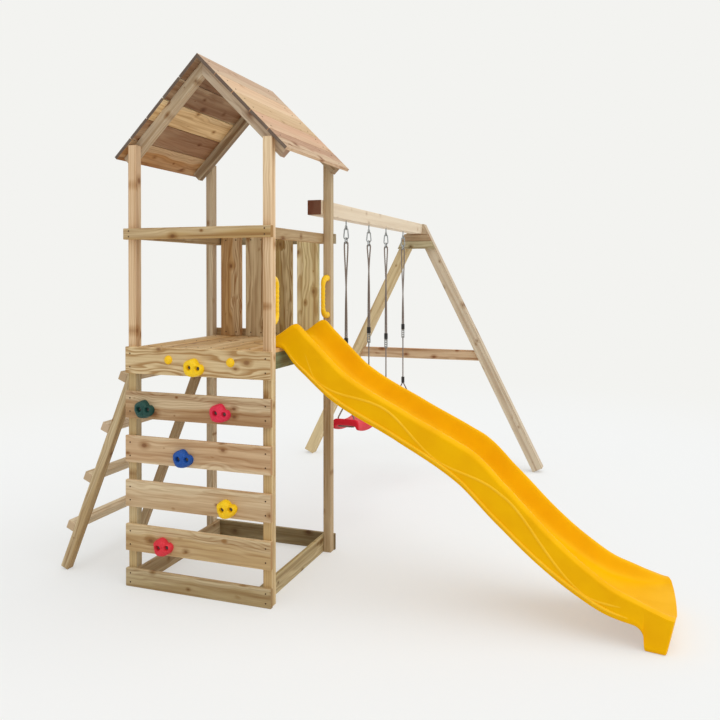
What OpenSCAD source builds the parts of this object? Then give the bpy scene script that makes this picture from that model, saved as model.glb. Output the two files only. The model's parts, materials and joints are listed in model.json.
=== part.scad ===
// Wooden climbing frame: a roofed tower with a climbing wall, a ladder and a wave slide,
// and a beam with two swings that runs from the tower to a pair of splayed legs.
// Lengths are millimetres. X runs along the climbing wall towards the slide, Y runs back
// along the swing beam, and Z is up. The tower's middle is worked out as the zero of X and Y,
// and in_frame() then sets the whole on the centre of its footprint.

/* [Tower] */
// Width of the tower over its posts, along the climbing wall
tower_w = 790; // [740:10:840]
// Depth of the tower over its posts
tower_d = 780; // [740:10:840]
// Side of a square post
post_s = 45; // [40:1:50]
// Height of the posts
post_h = 2190; // [2150:10:2300]
// Height of the deck's walking surface
deck_h = 1190; // [1150:10:1250]
// Thickness of the boards
board_t = 20; // [18:1:24]
// Width of the wide boards
board_w = 132; // [120:1:140]
// How far a wall board stands past the posts at each end
board_end = 5; // [0:1:15]
// Height of the boards of the base frame
base_h = 90; // [80:1:110]

/* [Deck] */
// Least gap between two deck boards
deck_gap = 6; // [4:1:9]
// Height of the two side joists
joist_h = 80; // [70:1:100]
// Side of the square bearers that cross under the deck boards
bearer_s = 40; // [30:1:50]
// How far the back deck board rises above the deck
back_rise = 42; // [30:1:60]

/* [Guard rails] */
// Height of the rails' upper edge above the ground
rail_top = 1775; // [1740:5:1830]
// Height of a rail's section
rail_h = 55; // [45:1:70]
// Thickness of a rail's section
rail_t = 28; // [22:1:34]
// Gap between two upright boards of the back panel
panel_gap = 31; // [25:1:40]

/* [Roof] */
// Slope of the roof in degrees
roof_pitch = 45; // [40:1:48]
// Width of a roof board
roof_board_w = 128; // [120:1:135]
// Thickness of a roof board
roof_board_t = 16; // [14:1:20]
// Gap between two roof boards
roof_gap = 4; // [2:1:6]
// Roof boards on each slope
roof_boards = 5; // [5:1:6]
// How far the roof reaches past the back posts
roof_back = 35; // [20:1:60]
// Gap between a post's top and the roof boards
roof_clear = 2; // [1:1:6]
// Clearance between the rafters and the roof boards
rafter_clear = 0.3; // [0.2:0.1:0.5]
// Thickness of a rafter along the ridge
rafter_t = 45; // [35:1:50]
// Depth of a rafter across the slope
rafter_d = 50; // [40:1:60]
// How far a rafter stops short of the eave
rafter_short = 14; // [5:1:30]

/* [Ladder] */
// Side of the square ladder timber
ladder_s = 45; // [38:1:50]
// Distance from the joist to the ladder's foot on the ground
ladder_reach = 465; // [400:5:520]
// How far below the joist's upper edge the ladder first meets the joist
ladder_seat = 41; // [30:1:50]
// Height along the rail of the lowest rung
rung_first = 226; // [190:1:260]
// Distance along the rail from the highest rung to the seat
rung_last = 137; // [110:1:170]
// Rungs on the ladder
rungs = 4; // [4:1:4]

/* [Slide] */
// How far the slide's entry lies on the deck
slide_lap = 40; // [30:1:60]
// Length of the slide on plan
slide_run = 1825; // [1700:5:2000]
// Height of the bed at the exit
slide_exit = 130; // [110:5:170]
// Width of the slide over its lower edges
slide_w = 436; // [400:2:460]
// Width of the slide over its rims
slide_rim_w = 380; // [350:2:390]
// Width of the bed between the side walls
slide_bed_w = 270; // [240:2:280]
// Height of the side walls above the bed
slide_wall = 105; // [90:1:120]
// Depth of the moulding below the bed
slide_under = 40; // [35:1:50]
// Thickness of the moulded walls and bed
slide_skin = 15; // [12:1:20]
// How much wider the foot is than the rest, on each side
slide_flare = 45; // [20:1:60]
// How far the middle of the slide's nose stands past its run
slide_nose_out = 18; // [0:1:40]

/* [Hand grips] */
// Length of a hand grip
grip_l = 240; // [220:1:280]
// Diameter of a hand grip
grip_d = 25; // [22:1:30]
// Distance from the post to the middle of the grip
grip_out = 56; // [50:1:65]
// Height of the grips' middle above the deck
grip_up = 235; // [210:1:260]
// Diameter of a grip's foot
grip_foot_d = 36; // [32:1:42]
// Thickness of a grip's foot
grip_foot_t = 9; // [6:1:14]

/* [Climbing holds] */
// Width of a climbing hold
hold_w = 107; // [100:1:116]
// Height of a climbing hold on the board
hold_h = 90; // [84:1:96]
// How far a hold stands out from its board
hold_rise = 40; // [36:1:50]
// Distance between a hold's two bolts
hold_bolt_gap = 46; // [40:1:50]
// Diameter of the bolts' heads
hold_head_d = 14; // [12:1:16]
// Width of the countersink round a bolt's head, at the height of the crown
hold_sink_d = 30; // [24:1:32]
// Diameter of the bolts
hold_bolt_d = 8; // [6:1:10]
// Clearance round a bolt and its head
bolt_clear = 1; // [0.5:0.5:1.5]
// Plastic left under a bolt's head
hold_floor = 16; // [12:1:20]
// Diameter of a round bolt cap
cap_d = 44; // [36:1:50]
// Height of a round bolt cap
cap_h = 18; // [12:1:24]
// Distance of the left bolt cap from the middle of its board
cap_left = 150; // [120:5:200]
// Distance of the right bolt cap from the middle of its board
cap_right = 190; // [120:5:230]
// Distance of the bolt caps' middle below their board's upper edge
cap_drop = 57; // [40:1:80]

/* [Swing frame] */
// Side of the square beam and legs
beam_s = 82; // [75:1:90]
// Height of the beam's upper face
beam_top = 1960; // [1900:10:2050]
// How far the beam stands out in front of its post
beam_front = 30; // [20:1:60]
// Distance from the tower's back to the legs
leg_away = 2075; // [1950:5:2300]
// Half the distance between the legs' inner edges on the ground
leg_spread = 935; // [850:5:1000]
// Height above the beam's underside where the legs' inner faces would meet
leg_meet = 9; // [0:1:20]
// Height of the cross bar's lower edge
bar_low = 855; // [800:5:950]
// Height of the cross bar
bar_h = 80; // [70:1:95]
// Thickness of the cross bar and of the two cleats
cleat_t = 45; // [38:1:50]
// Height of one cleat under the beam
cleat_h = 60; // [50:1:70]
// Gap between the two cleats
cleat_gap = 0.5; // [0.5:0.5:3]

/* [Swings] */
// Distance from the tower's back to the middle of the first seat
swing_1_away = 640; // [560:5:700]
// Distance between the middles of the two seats
swing_apart = 807; // [760:1:860]
// Diameter of the rope
rope_d = 10; // [8:1:12]
// Distance between the two strands of the upper loop
strand_gap = 22; // [20:1:26]
// Height of the first seat's upper face at its ropes
seat_1_h = 655; // [600:5:690]
// Height of the second seat's upper face at its ropes
seat_2_h = 615; // [580:5:690]
// Length of a seat
seat_l = 470; // [450:2:520]
// Distance from a seat's end to the middle of its rope
rope_inset = 20; // [16:1:30]
// How far a seat's middle lies below its ends
seat_dip = 30; // [15:1:40]
// Depth of a seat from edge to edge
seat_d = 172; // [160:2:200]
// Thickness of a seat between its edges
seat_t = 40; // [30:1:46]
// How far a seat's long edges turn down
seat_drop = 66; // [56:1:76]
// Radius of a seat's upper edges
seat_edge_r = 28; // [20:1:34]
// Radius of the lip along a seat's turned-down edges
seat_lip_r = 9; // [7:1:11]
// Distance from a seat's long edge to a rope hole
seat_hole_in = 34; // [32:1:44]
// Clearance of the rope in a seat's hole
seat_hole_clear = 1; // [0.5:0.5:2]

/* [Swing fittings] */
// Diameter of the wire of eyes, hooks and rings
wire_d = 8; // [6:1:9]
// Length of an eye bolt's shank below the beam
eye_drop = 26; // [18:1:35]
// Outer diameter of an eye
eye_d = 32; // [30:1:38]
// Depth of an eye bolt's shank in the beam
eye_bury = 50; // [40:1:70]
// Length of a snap hook over its ends
hook_l = 76; // [70:1:90]
// Outer width of a snap hook at its upper end
hook_top_w = 30; // [28:1:34]
// Outer width of a snap hook at its lower end
hook_low_w = 38; // [36:1:44]
// Outer diameter of a ring
ring_d = 42; // [40:1:50]
// Play between two linked pieces
link_play = 0.3; // [0.2:0.1:0.5]
// Height of the upper ferrules' upper face above the ground
ferrule_z = 1160; // [1100:5:1220]
// Height of an upper ferrule
ferrule_h = 40; // [32:1:48]
// Thickness of an upper ferrule
ferrule_t = 16; // [14:1:20]
// Length of a rope adjuster
adjuster_l = 65; // [60:1:90]
// Thickness of a rope adjuster
adjuster_t = 8; // [6:1:10]
// Width of a rope adjuster
adjuster_w = 22; // [20:1:30]
// Diameter of the holes in a rope adjuster
adjuster_hole_d = 11; // [10:1:13]
// Height of the lower ferrules' lower face above the seat
split_up = 100; // [85:1:120]
// Height of a lower ferrule
split_h = 44; // [34:1:54]
// Diameter of a lower ferrule
split_d = 24; // [20:1:28]

/* [Hidden] */
$fn = 48;
// How far a cut or a joined shape runs past the face that it meets
overlap = 1;
part_names_tower = [
  "post_front_left", "post_front_right", "post_back_left", "post_back_right",
  "base_front", "base_back", "base_left", "base_right",
  "climb_board_1", "climb_board_2", "climb_board_3", "climb_board_4", "climb_board_5",
  "deck_board_back", "joist_left", "joist_right", "deck_bearers", "deck_boards",
  "guard_rail_front", "guard_rail_back", "guard_rail_left", "guard_rail_right", "back_panel_boards",
  "rafter_front_left", "rafter_front_right", "rafter_back_left", "rafter_back_right",
  "roof_boards_left", "roof_boards_right"
];
part_names_play = [
  "ladder_rail_front", "ladder_rail_back", "ladder_rungs", "slide", "hand_grip_front", "hand_grip_back",
  "hold_yellow_top", "hold_green", "hold_pink", "hold_blue", "hold_yellow_low", "hold_red",
  "hold_bolts", "bolt_caps"
];
part_names_swing = [
  "swing_beam", "leg_left", "leg_right", "leg_cross_bar", "leg_cleats", "eye_bolts",
  "swing_1_hooks", "swing_1_ropes", "swing_1_ferrules", "swing_1_adjusters", "swing_1_seat",
  "swing_2_hooks", "swing_2_ropes", "swing_2_ferrules", "swing_2_adjusters", "swing_2_seat"
];

pine = "#c49a66";
pine_pale = "#d9b98a";
pine_brown = "#9b7448";
moulded_yellow = "#eaa800";
grip_yellow = "#f2b705";
steel_grey = "#a9adb0";
rope_brown = "#7d6f5d";
ferrule_black = "#232323";
seat_red = "#c8202c";

// Tower faces
half_w = tower_w / 2;
half_d = tower_d / 2;
inner_w = tower_w - 2 * post_s;
inner_x = inner_w / 2;
inner_y = half_d - post_s;
climb_boards = 5;
climb_pitch = (deck_h - base_h) / climb_boards;
wall_l = tower_w + 2 * board_end;
wall_face = -half_d - board_t;
joist_top = deck_h - board_t;
joist_face = inner_x;
rail_low = rail_top - rail_h;

// Boards that repeat across the tower's inner width
deck_n = floor((inner_w + deck_gap) / (board_w + deck_gap));
deck_pitch = (inner_w - board_w) / (deck_n - 1);
panel_n = floor(inner_w / (board_w + panel_gap));
panel_pitch = board_w + panel_gap;

// Roof lines, with s down the slope from the ridge and n square to the slope
ridge_under = post_h + roof_clear + half_w * tan(roof_pitch);
roof_slope = roof_boards * roof_board_w + (roof_boards - 1) * roof_gap;
function slope_point(s, n) = [
  s * cos(roof_pitch) + n * sin(roof_pitch),
  ridge_under - s * sin(roof_pitch) + n * cos(roof_pitch)
];

// Ladder lines: the rails' lower faces run from the foot to the joist
ladder_lean = atan(ladder_reach / (joist_top - ladder_seat));
ladder_slope = sqrt(pow(ladder_reach, 2) + pow(joist_top - ladder_seat, 2));
ladder_foot = -joist_face - ladder_reach;
rung_pitch = (ladder_slope - rung_first - rung_last) / (rungs - 1);

// Slide lines
slide_start = joist_face - slide_lap;
slide_nose = slide_start + slide_run + slide_nose_out;
slide_nose_back = 30;
slide_ring_step = 0.025;
slide_foot_from = 0.91;
slide_foot_to = 0.934;
slide_foot_fillet = (slide_foot_to - slide_foot_from) * slide_run;
slide_recess_end = 0.95;
slide_nose_round = 25;
// Share of the run, share of the drop that is left: the two waves of the bed
slide_bed_keys = [
  [0, 1], [0.035, 0.99], [0.088, 0.905], [0.19, 0.765], [0.355, 0.623], [0.51, 0.473],
  [0.61, 0.32], [0.705, 0.182], [0.795, 0.079], [0.875, 0.018], [1, 0]
];
// Share of the run, share of the full height of the side walls
slide_wall_keys = [
  [0, 0.12], [0.03, 0.45], [0.07, 0.96], [0.12, 1], [0.36, 0.9], [0.6, 1.05], [0.78, 0.85],
  [0.9, 0.6], [0.96, 0.3], [1, 0.1]
];

// Half of a grip's line, from a foot to the start of the bow, as [out, up, radius]
grip_sides = 16;
grip_steps = 6;
grip_foot_z = (grip_l - grip_foot_d) / 2;
grip_bend_z = grip_foot_z - 0.7 * grip_out;
grip_half = concat(
  [[0, grip_foot_z, grip_foot_d / 2]],
  [for (k = [0:grip_steps])
    let (a = k * 90 / grip_steps)
    [
      grip_foot_t + (grip_out - grip_foot_t) * sin(a),
      grip_bend_z + (grip_foot_z - grip_bend_z) * cos(a),
      (grip_d + (grip_foot_d - grip_d) * pow(cos(a), 2)) / 2
    ]]
);
grip_path = concat(
  grip_half,
  [for (k = [len(grip_half) - 1:-1:0]) [grip_half[k][0], -grip_half[k][1], grip_half[k][2]]]
);

// Swing frame lines
beam_low = beam_top - beam_s;
beam_x = joist_face - beam_s / 2;
leg_y = half_d + leg_away;
leg_meet_h = beam_low + leg_meet;
leg_lean = atan(leg_spread / leg_meet_h);
leg_flat = beam_s / cos(leg_lean);
function leg_inner(z) = (leg_meet_h - z) * tan(leg_lean);
function leg_outer(z) = leg_inner(z) + leg_flat;

// Swing lines, from the beam down
wire_r = wire_d / 2;
rope_r = rope_d / 2;
rope_y = seat_l / 2 - rope_inset;
swing_y = [half_d + swing_1_away, half_d + swing_1_away + swing_apart];
eye_r = eye_d / 2 - wire_r;
eye_z = beam_low - eye_drop - eye_d / 2;
// The swings turn about the lower wire of their eyes, and the hooks hang on that wire
swing_pivot = eye_z - eye_r;
hook_high = swing_pivot + 2 * wire_r + link_play;
hook_top_r = hook_top_w / 2 - wire_r;
hook_low_r = hook_low_w / 2 - wire_r;
hook_top_z = hook_high - hook_top_r;
hook_low_z = hook_high + wire_r - hook_l + hook_low_w / 2;
hook_wire_sides = 12;
hook_bow_steps = 10;
ring_r = ring_d / 2 - wire_r;
ring_z = hook_low_z - hook_low_r + 2 * wire_r + link_play - ring_r;
strand_r = strand_gap / 2;
loop_z = ring_z - ring_r + wire_r + link_play + rope_r - strand_r;
// How far each rope's adjuster is set above or below the ferrules' height: front and back of each swing
rope_set = [[-5, 35], [-35, 5]];
seat_h = [seat_1_h, seat_2_h];
function ferrule_top(index, end) = ferrule_z + rope_set[index][end];
function ferrule_low(index, end) = ferrule_top(index, end) - ferrule_h;
function adjuster_low(index, end) = ferrule_low(index, end) - adjuster_l;
function split_low(index) = seat_h[index] + split_up;
function split_top(index) = split_low(index) + split_h;
seat_hole_x = seat_d / 2 - seat_hole_in;

// Rope paths in a plane, as [across, up]: the loop goes up, over the ring and down again
rope_sides = 10;
loop_steps = 8;
strand_x = rope_r + link_play;
function loop_path(foot) = concat(
  [[-strand_x, foot], [-strand_x, foot + rope_r]],
  [for (k = [0:loop_steps])
    let (a = k * 180 / loop_steps)
    [-strand_r * cos(a), loop_z + strand_r * sin(a)]],
  [[strand_x, foot + rope_r], [strand_x, foot]]
);
// The sling leaves the lower ferrule, goes down through one hole, under the seat and up through the other
sling_bend = 0.8 * rope_d;
sling_steps = 4;
function sling_half(seat, split) =
  let (low = seat - seat_t - rope_r - 3 * link_play)
  concat(
    [[strand_x, split], [strand_x, split - rope_r]],
    [[seat_hole_x - 0.2 * rope_r, seat + rope_d], [seat_hole_x, seat]],
    [for (k = [0:sling_steps])
      let (a = k * 90 / sling_steps)
      [seat_hole_x - sling_bend * (1 - cos(a)), low + sling_bend * (1 - sin(a))]]
  );
function sling_path(seat, split) =
  let (half = sling_half(seat, split))
  concat([for (p = half) [-p[0], p[1]]], [for (k = [len(half) - 1:-1:0]) half[k]]);
// Rings of a round tube along such a path, each square to the path
function path_ahead(path, i) = path[min(i + 1, len(path) - 1)] - path[max(i - 1, 0)];
function tube_rings(path, radii, sides) =
  [for (i = [0:len(path) - 1])
    let (ahead = path_ahead(path, i), side = [ahead[1], -ahead[0]] / norm(ahead))
    [for (k = [0:sides - 1])
      let (a = k * 360 / sides, out = radii[i] * cos(a))
      [path[i][0] + out * side[0], radii[i] * sin(a), path[i][1] + out * side[1]]]];
function rope_rings(path) = tube_rings(path, [for (p = path) rope_r], rope_sides);

// Footprint, and the shift that puts its centre at zero
foot_x_low = ladder_foot - ladder_s * cos(ladder_lean);
foot_x_high = slide_nose;
foot_y_low = wall_face - hold_rise;
foot_y_high = leg_y + beam_s;
module in_frame() {
  translate([-(foot_x_low + foot_x_high) / 2, -(foot_y_low + foot_y_high) / 2, 0]) children();
}

// A straight block between two corners
module block(low, high) {
  translate(low) cube(high - low);
}

// A section drawn in X and Z, run along Y from y_low to y_high
module along_y(y_low, y_high) {
  translate([0, y_high, 0]) rotate([90, 0, 0]) linear_extrude(height = y_high - y_low) children();
}

// A smooth curve through key points, level at both ends
function key_slope(keys, i) =
  i == 0 || i == len(keys) - 1 ? 0 : (keys[i + 1][1] - keys[i - 1][1]) / (keys[i + 1][0] - keys[i - 1][0]);
function key_index(keys, u, i = 0) =
  i >= len(keys) - 2 || u <= keys[i + 1][0] ? i : key_index(keys, u, i + 1);
function key_blend(a, b, span, from, to, t) =
  a * (2 * t * t * t - 3 * t * t + 1) + b * (3 * t * t - 2 * t * t * t)
  + span * (from * (t * t * t - 2 * t * t + t) + to * (t * t * t - t * t));
function key_value(keys, u) =
  let (i = key_index(keys, u), span = keys[i + 1][0] - keys[i][0])
  key_blend(keys[i][1], keys[i + 1][1], span, key_slope(keys, i), key_slope(keys, i + 1),
            (u - keys[i][0]) / span);

// Skin through rings of equal, even count, each anticlockwise seen from ahead, with a flat first end
// and a fan on the last
function ring_middle(ring) = (ring[0] + ring[len(ring) / 2]) / 2;
module loft(rings) {
  n = len(rings[0]);
  last = len(rings) - 1;
  points = concat([for (ring = rings) for (p = ring) p], [ring_middle(rings[last])]);
  middle = (last + 1) * n;
  sides = [for (r = [0:last - 1]) for (k = [0:n - 1]) let (a = r * n + k, b = r * n + (k + 1) % n)
    each [[a, b + n, b], [a, a + n, b + n]]];
  first_end = [for (k = [0:n - 1]) k];
  last_end = [for (k = [0:n - 1]) [middle, last * n + (k + 1) % n, last * n + k]];
  polyhedron(points = points, faces = concat(sides, [first_end], last_end));
}

// Skin of a closed loop of rings of equal count
module closed_sweep(rings) {
  n = len(rings[0]);
  count = len(rings);
  polyhedron(
    points = [for (ring = rings) for (p = ring) p],
    faces = [for (r = [0:count - 1]) for (k = [0:n - 1])
      let (
        next = (r + 1) % count,
        a = r * n + k,
        b = r * n + (k + 1) % n,
        c = next * n + k,
        d = next * n + (k + 1) % n
      )
      each [[a, d, b], [a, c, d]]]
  );
}

// Tower frame

module post(side_x, side_y) {
  color(pine)
    in_frame()
      block([side_x > 0 ? half_w - post_s : -half_w, side_y > 0 ? half_d - post_s : -half_d, 0],
            [side_x > 0 ? half_w : post_s - half_w, side_y > 0 ? half_d : post_s - half_d, post_h]);
}
module post_front_left() { post(-1, -1); }
module post_front_right() { post(1, -1); }
module post_back_left() { post(-1, 1); }
module post_back_right() { post(1, 1); }

// A board across the front or back faces of the posts
module cross_board(side_y, z_low, z_high, thick, length) {
  y = side_y > 0 ? half_d : -half_d - thick;
  block([-length / 2, y, z_low], [length / 2, y + thick, z_high]);
}

// A board on the inner faces of the posts of one side
module side_board(side_x, z_low, z_high, thick) {
  x = side_x > 0 ? inner_x - thick : -inner_x;
  block([x, -half_d, z_low], [x + thick, half_d, z_high]);
}

module base_front() { color(pine) in_frame() cross_board(-1, 0, base_h, board_t, wall_l); }
module base_back() { color(pine_brown) in_frame() cross_board(1, 0, base_h, board_t, wall_l); }
module base_left() { color(pine) in_frame() side_board(-1, 0, base_h, board_t); }
module base_right() { color(pine) in_frame() side_board(1, 0, base_h, board_t); }

// Climbing wall, counted from the deck down
function climb_top(k) = deck_h - (k - 1) * climb_pitch;
module climb_board(k) {
  color(k % 2 == 0 ? pine_pale : pine)
    in_frame()
      difference() {
        cross_board(-1, climb_top(k) - board_w, climb_top(k), board_t, wall_l);
        for (hold = holds)
          if (hold[0] == k) hold_bolt_places(hold) bolt_bore(board_t * 3);
      }
}
module climb_board_1() { climb_board(1); }
module climb_board_2() { climb_board(2); }
module climb_board_3() { climb_board(3); }
module climb_board_4() { climb_board(4); }
module climb_board_5() { climb_board(5); }

// Deck
module deck_board_back() {
  color(pine) in_frame() cross_board(1, deck_h + back_rise - board_w, deck_h + back_rise, board_t, wall_l);
}
module joist_left() { color(pine_brown) in_frame() side_board(-1, joist_top - joist_h, joist_top, board_t); }
module joist_right() { color(pine_brown) in_frame() side_board(1, joist_top - joist_h, joist_top, board_t); }
module deck_bearers() {
  reach = inner_x - board_t;
  color(pine_brown)
    in_frame()
      for (y = [-inner_y + bearer_s / 2, 0, inner_y - bearer_s / 2])
        block([-reach, y - bearer_s / 2, joist_top - bearer_s], [reach, y + bearer_s / 2, joist_top]);
}
module deck_boards() {
  color(pine_pale)
    in_frame()
      for (k = [0:deck_n - 1])
        translate([k * deck_pitch - inner_x, 0, 0])
          block([0, -half_d, joist_top], [board_w, half_d, deck_h]);
}

// Guard rails and back panel
module guard_rail_front() {
  color(pine) in_frame() cross_board(-1, rail_low, rail_top, rail_t, wall_l + 2 * board_end);
}
module guard_rail_back() { color(pine) in_frame() cross_board(1, rail_low, rail_top, rail_t, wall_l); }
module guard_rail_left() { color(pine) in_frame() side_board(-1, rail_low, rail_top, rail_t); }
module guard_rail_right() { color(pine) in_frame() side_board(1, rail_low, rail_top, rail_t); }
module back_panel_boards() {
  first = -(panel_n - 1) * panel_pitch / 2 - board_w / 2;
  color(pine_brown)
    in_frame()
      for (k = [0:panel_n - 1])
        translate([first + k * panel_pitch, 0, 0])
          block([0, half_d - board_t, deck_h], [board_w, half_d, rail_top]);
}

// Roof

// One rafter, plumb at the ridge and square at the eave, against the inner face of the posts
module rafter(side_x, side_y) {
  tail = roof_slope - rafter_short;
  y = side_y > 0 ? inner_y - rafter_t : -inner_y;
  color(pine)
    in_frame()
      along_y(y, y + rafter_t)
        scale([side_x, 1])
          polygon([
            [0, ridge_under - rafter_clear / cos(roof_pitch)],
            [0, ridge_under - (rafter_clear + rafter_d) / cos(roof_pitch)],
            slope_point(tail, -rafter_clear - rafter_d),
            slope_point(tail, -rafter_clear)
          ]);
}
module rafter_front_left() { rafter(-1, -1); }
module rafter_front_right() { rafter(1, -1); }
module rafter_back_left() { rafter(-1, 1); }
module rafter_back_right() { rafter(1, 1); }

// One slope of boards, with the uppermost board cut plumb at the ridge
module roof_slope_boards(side_x) {
  step = roof_board_w + roof_gap;
  color(side_x > 0 ? pine_pale : pine_brown)
    in_frame()
      along_y(-half_d, half_d + roof_back)
        scale([side_x, 1])
          for (k = [0:roof_boards - 1])
            polygon([
              slope_point(k * step, 0),
              slope_point(k * step + roof_board_w, 0),
              slope_point(k * step + roof_board_w, roof_board_t),
              slope_point(k == 0 ? -roof_board_t * tan(roof_pitch) : k * step, roof_board_t)
            ]);
}
module roof_boards_left() { roof_slope_boards(-1); }
module roof_boards_right() { roof_slope_boards(1); }

// Ladder

// Places its children on the ladder's slope: Z runs up the rail, and X = 0 is its lower face
module on_ladder() {
  in_frame() translate([ladder_foot, 0, 0]) rotate([0, ladder_lean, 0]) children();
}

// One rail, square at the foot, cut off by the joist's face and level with the joist's upper edge
module ladder_rail(side_y) {
  y = side_y > 0 ? inner_y - ladder_s : -inner_y;
  color(pine)
    intersection() {
      on_ladder() block([-ladder_s, y, 0], [0, y + ladder_s, ladder_slope * 1.2]);
      in_frame() block([foot_x_low - ladder_s, y, -ladder_s], [-joist_face, y + ladder_s, joist_top]);
    }
}
module ladder_rail_front() { ladder_rail(-1); }
module ladder_rail_back() { ladder_rail(1); }
module ladder_rungs() {
  color(pine)
    on_ladder()
      for (k = [0:rungs - 1])
        block([-2 * ladder_s, -inner_y, rung_first + k * rung_pitch - ladder_s / 2],
              [-ladder_s, inner_y, rung_first + k * rung_pitch + ladder_s / 2]);
}

// Slide

function slide_bed(u) = slide_exit + (deck_h + slide_under - slide_exit) * key_value(slide_bed_keys, u);
function slide_stretch(u) =
  let (du = 0.004, rise = slide_bed(max(0, u - du)) - slide_bed(min(1, u + du)))
  sqrt(1 + pow(rise / (2 * du * slide_run), 2));
// Lower edge of the sides: level on the deck up to the first section past its edge, then along the bed
function slide_low(u) =
  let (
    on_deck = u * slide_run < slide_lap + slide_ring_step * slide_run,
    edge = on_deck ? deck_h : min(deck_h, slide_bed(u) - slide_under * slide_stretch(u))
  )
  u <= slide_foot_from ? edge
  : u > slide_foot_to ? 0
  : edge - slide_foot_fillet * (1 - sqrt(1 - pow(slide_bend(u), 2)));
// Share of the way round the fillet between the lower edge and the back of the foot
function slide_bend(u) = (u - slide_foot_from) / (slide_foot_to - slide_foot_from);

// Half of one upright section, from the middle of the underside round to the middle of the bed
function slide_half(u) =
  let (
    bed = slide_bed(u),
    low = slide_low(u),
    rise = slide_wall * key_value(slide_wall_keys, u) * slide_stretch(u),
    rim = bed + rise,
    flare = slide_flare * pow(max(0, (u - 0.6) / 0.4), 2),
    edge = slide_w / 2 + flare,
    rim_out = slide_rim_w / 2 + flare,
    bed_out = slide_bed_w / 2 + flare,
    rim_w = 2.2 * slide_skin,
    recess = u >= slide_recess_end ? low : max(low, bed - slide_skin * slide_stretch(u)),
    lip = min(0.3 * (rim - low), 1.6 * slide_skin)
  )
  [
    [0, recess],
    [edge - 2.2 * slide_skin, recess],
    [edge - slide_skin, low],
    [edge, low],
    [edge, low + lip],
    [edge - 0.5 * slide_skin, low + 1.3 * lip],
    [rim_out + 0.4 * rim_w, rim - 0.42 * rise],
    [rim_out + 0.28 * rim_w, rim - 0.24 * rise],
    [rim_out + 0.04 * rim_w, rim - 0.09 * rise],
    [rim_out - 0.26 * rim_w, rim - 0.018 * rise],
    [rim_out - 0.55 * rim_w, rim],
    [rim_out - 0.8 * rim_w, rim - 0.03 * rise],
    [rim_out - 1.0 * rim_w, rim - 0.14 * rise],
    [bed_out + 0.35 * slide_skin, bed + 0.32 * rise],
    [bed_out - 0.5 * slide_skin, bed + 0.1 * rise],
    [bed_out - 2.2 * slide_skin, bed],
    [0, bed]
  ];

// The last sections bow out in the middle and lean back at the ground and at the nose's round corners
function slide_ring(u) =
  let (
    half = slide_half(u),
    edge = max([for (p = half) p[0]]),
    n = len(half),
    lean = u > slide_foot_to ? (u - slide_foot_to) / (1 - slide_foot_to) : 0,
    x = slide_start + u * slide_run,
    outline = concat(half, [for (k = [n - 2:-1:1]) [-half[k][0], half[k][1]]])
  )
  [for (p = outline)
    let (
      under = slide_nose_back * max(0, 1 - p[1] / slide_bed(u)),
      corner = slide_nose_round * pow(abs(p[0]) / edge, 3)
    )
    [x + lean * (slide_nose_out - under - corner), p[0], p[1]]];

slide_stations = concat(
  [for (u = [0:slide_ring_step:slide_foot_from]) u],
  [for (share = [0.45, 0.75, 0.93, 1]) slide_foot_from + share * (slide_foot_to - slide_foot_from)],
  [slide_foot_to + 0.001, slide_recess_end, 0.965, 0.98, 0.99, 1]
);
module slide() {
  color(moulded_yellow) in_frame() loft([for (u = slide_stations) slide_ring(u)]);
}

// Hand grips

// A bowed grip that swells towards its two feet, standing out along -Y from a face at y = 0
module hand_grip() {
  rotate([0, 0, -90])
    loft(tube_rings([for (p = grip_path) [p[0], p[1]]], [for (p = grip_path) p[2]], grip_sides));
}
module hand_grip_front() {
  color(grip_yellow)
    in_frame()
      translate([half_w - post_s / 2, -inner_y, deck_h + grip_up]) rotate([0, 0, 180]) hand_grip();
}
module hand_grip_back() {
  color(grip_yellow)
    in_frame() translate([half_w - post_s / 2, inner_y, deck_h + grip_up]) hand_grip();
}

// Climbing holds

// Wall board, place along it as a share of the tower's half width, drop below its middle as a share
// of the board's width, turn in degrees
holds = [
  [1, 0.013, 0.165, -4], [2, -0.694, 0.114, 0], [2, 0.375, 0.076, -4],
  [3, -0.139, 0.155, 0], [4, 0.461, 0.132, 7], [5, -0.425, 0.144, 5]
];
function hold_x(hold) = half_w * hold[1];
function hold_z(hold) = climb_top(hold[0]) - board_w * (0.5 + hold[2]);
module at_hold(hold) {
  translate([hold_x(hold), wall_face, hold_z(hold)]) rotate([0, -hold[3], 0]) children();
}
module hold_bolt_places(hold) {
  at_hold(hold)
    for (side = [-1, 1])
      translate([side * hold_bolt_gap / 2, 0, 0]) children();
}
module bolt_bore(reach) {
  translate([0, reach / 2, 0]) rotate([90, 0, 0]) cylinder(h = reach, d = hold_bolt_d + bolt_clear);
}

// A stone with three lobes, one up, one down to the left and a smaller one to the right, with steep sides
function hold_reach(a) = 1 + 0.15 * cos(3 * (a - 113)) - 0.28 * cos(a) - 0.1 * sin(a);
hold_sectors = 30;
hold_angles = [for (k = [0:hold_sectors - 1]) k * 360 / hold_sectors];
hold_across = [for (a = hold_angles) hold_reach(a) * cos(a)];
hold_upright = [for (a = hold_angles) hold_reach(a) * sin(a)];
hold_scale_x = hold_w / (max(hold_across) - min(hold_across));
hold_scale_z = hold_h / (max(hold_upright) - min(hold_upright));
hold_lifts = [0, 25, 45, 60, 72, 82];
module hold_stone() {
  crown = sin(hold_lifts[len(hold_lifts) - 1]);
  loft([for (lift = hold_lifts) [for (k = [0:hold_sectors - 1])
    let (size = pow(cos(lift), 0.45), out = hold_rise * sin(lift) / crown)
    [hold_scale_x * size * hold_across[k], -out, hold_scale_z * size * hold_upright[k]]
  ]]);
}
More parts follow.
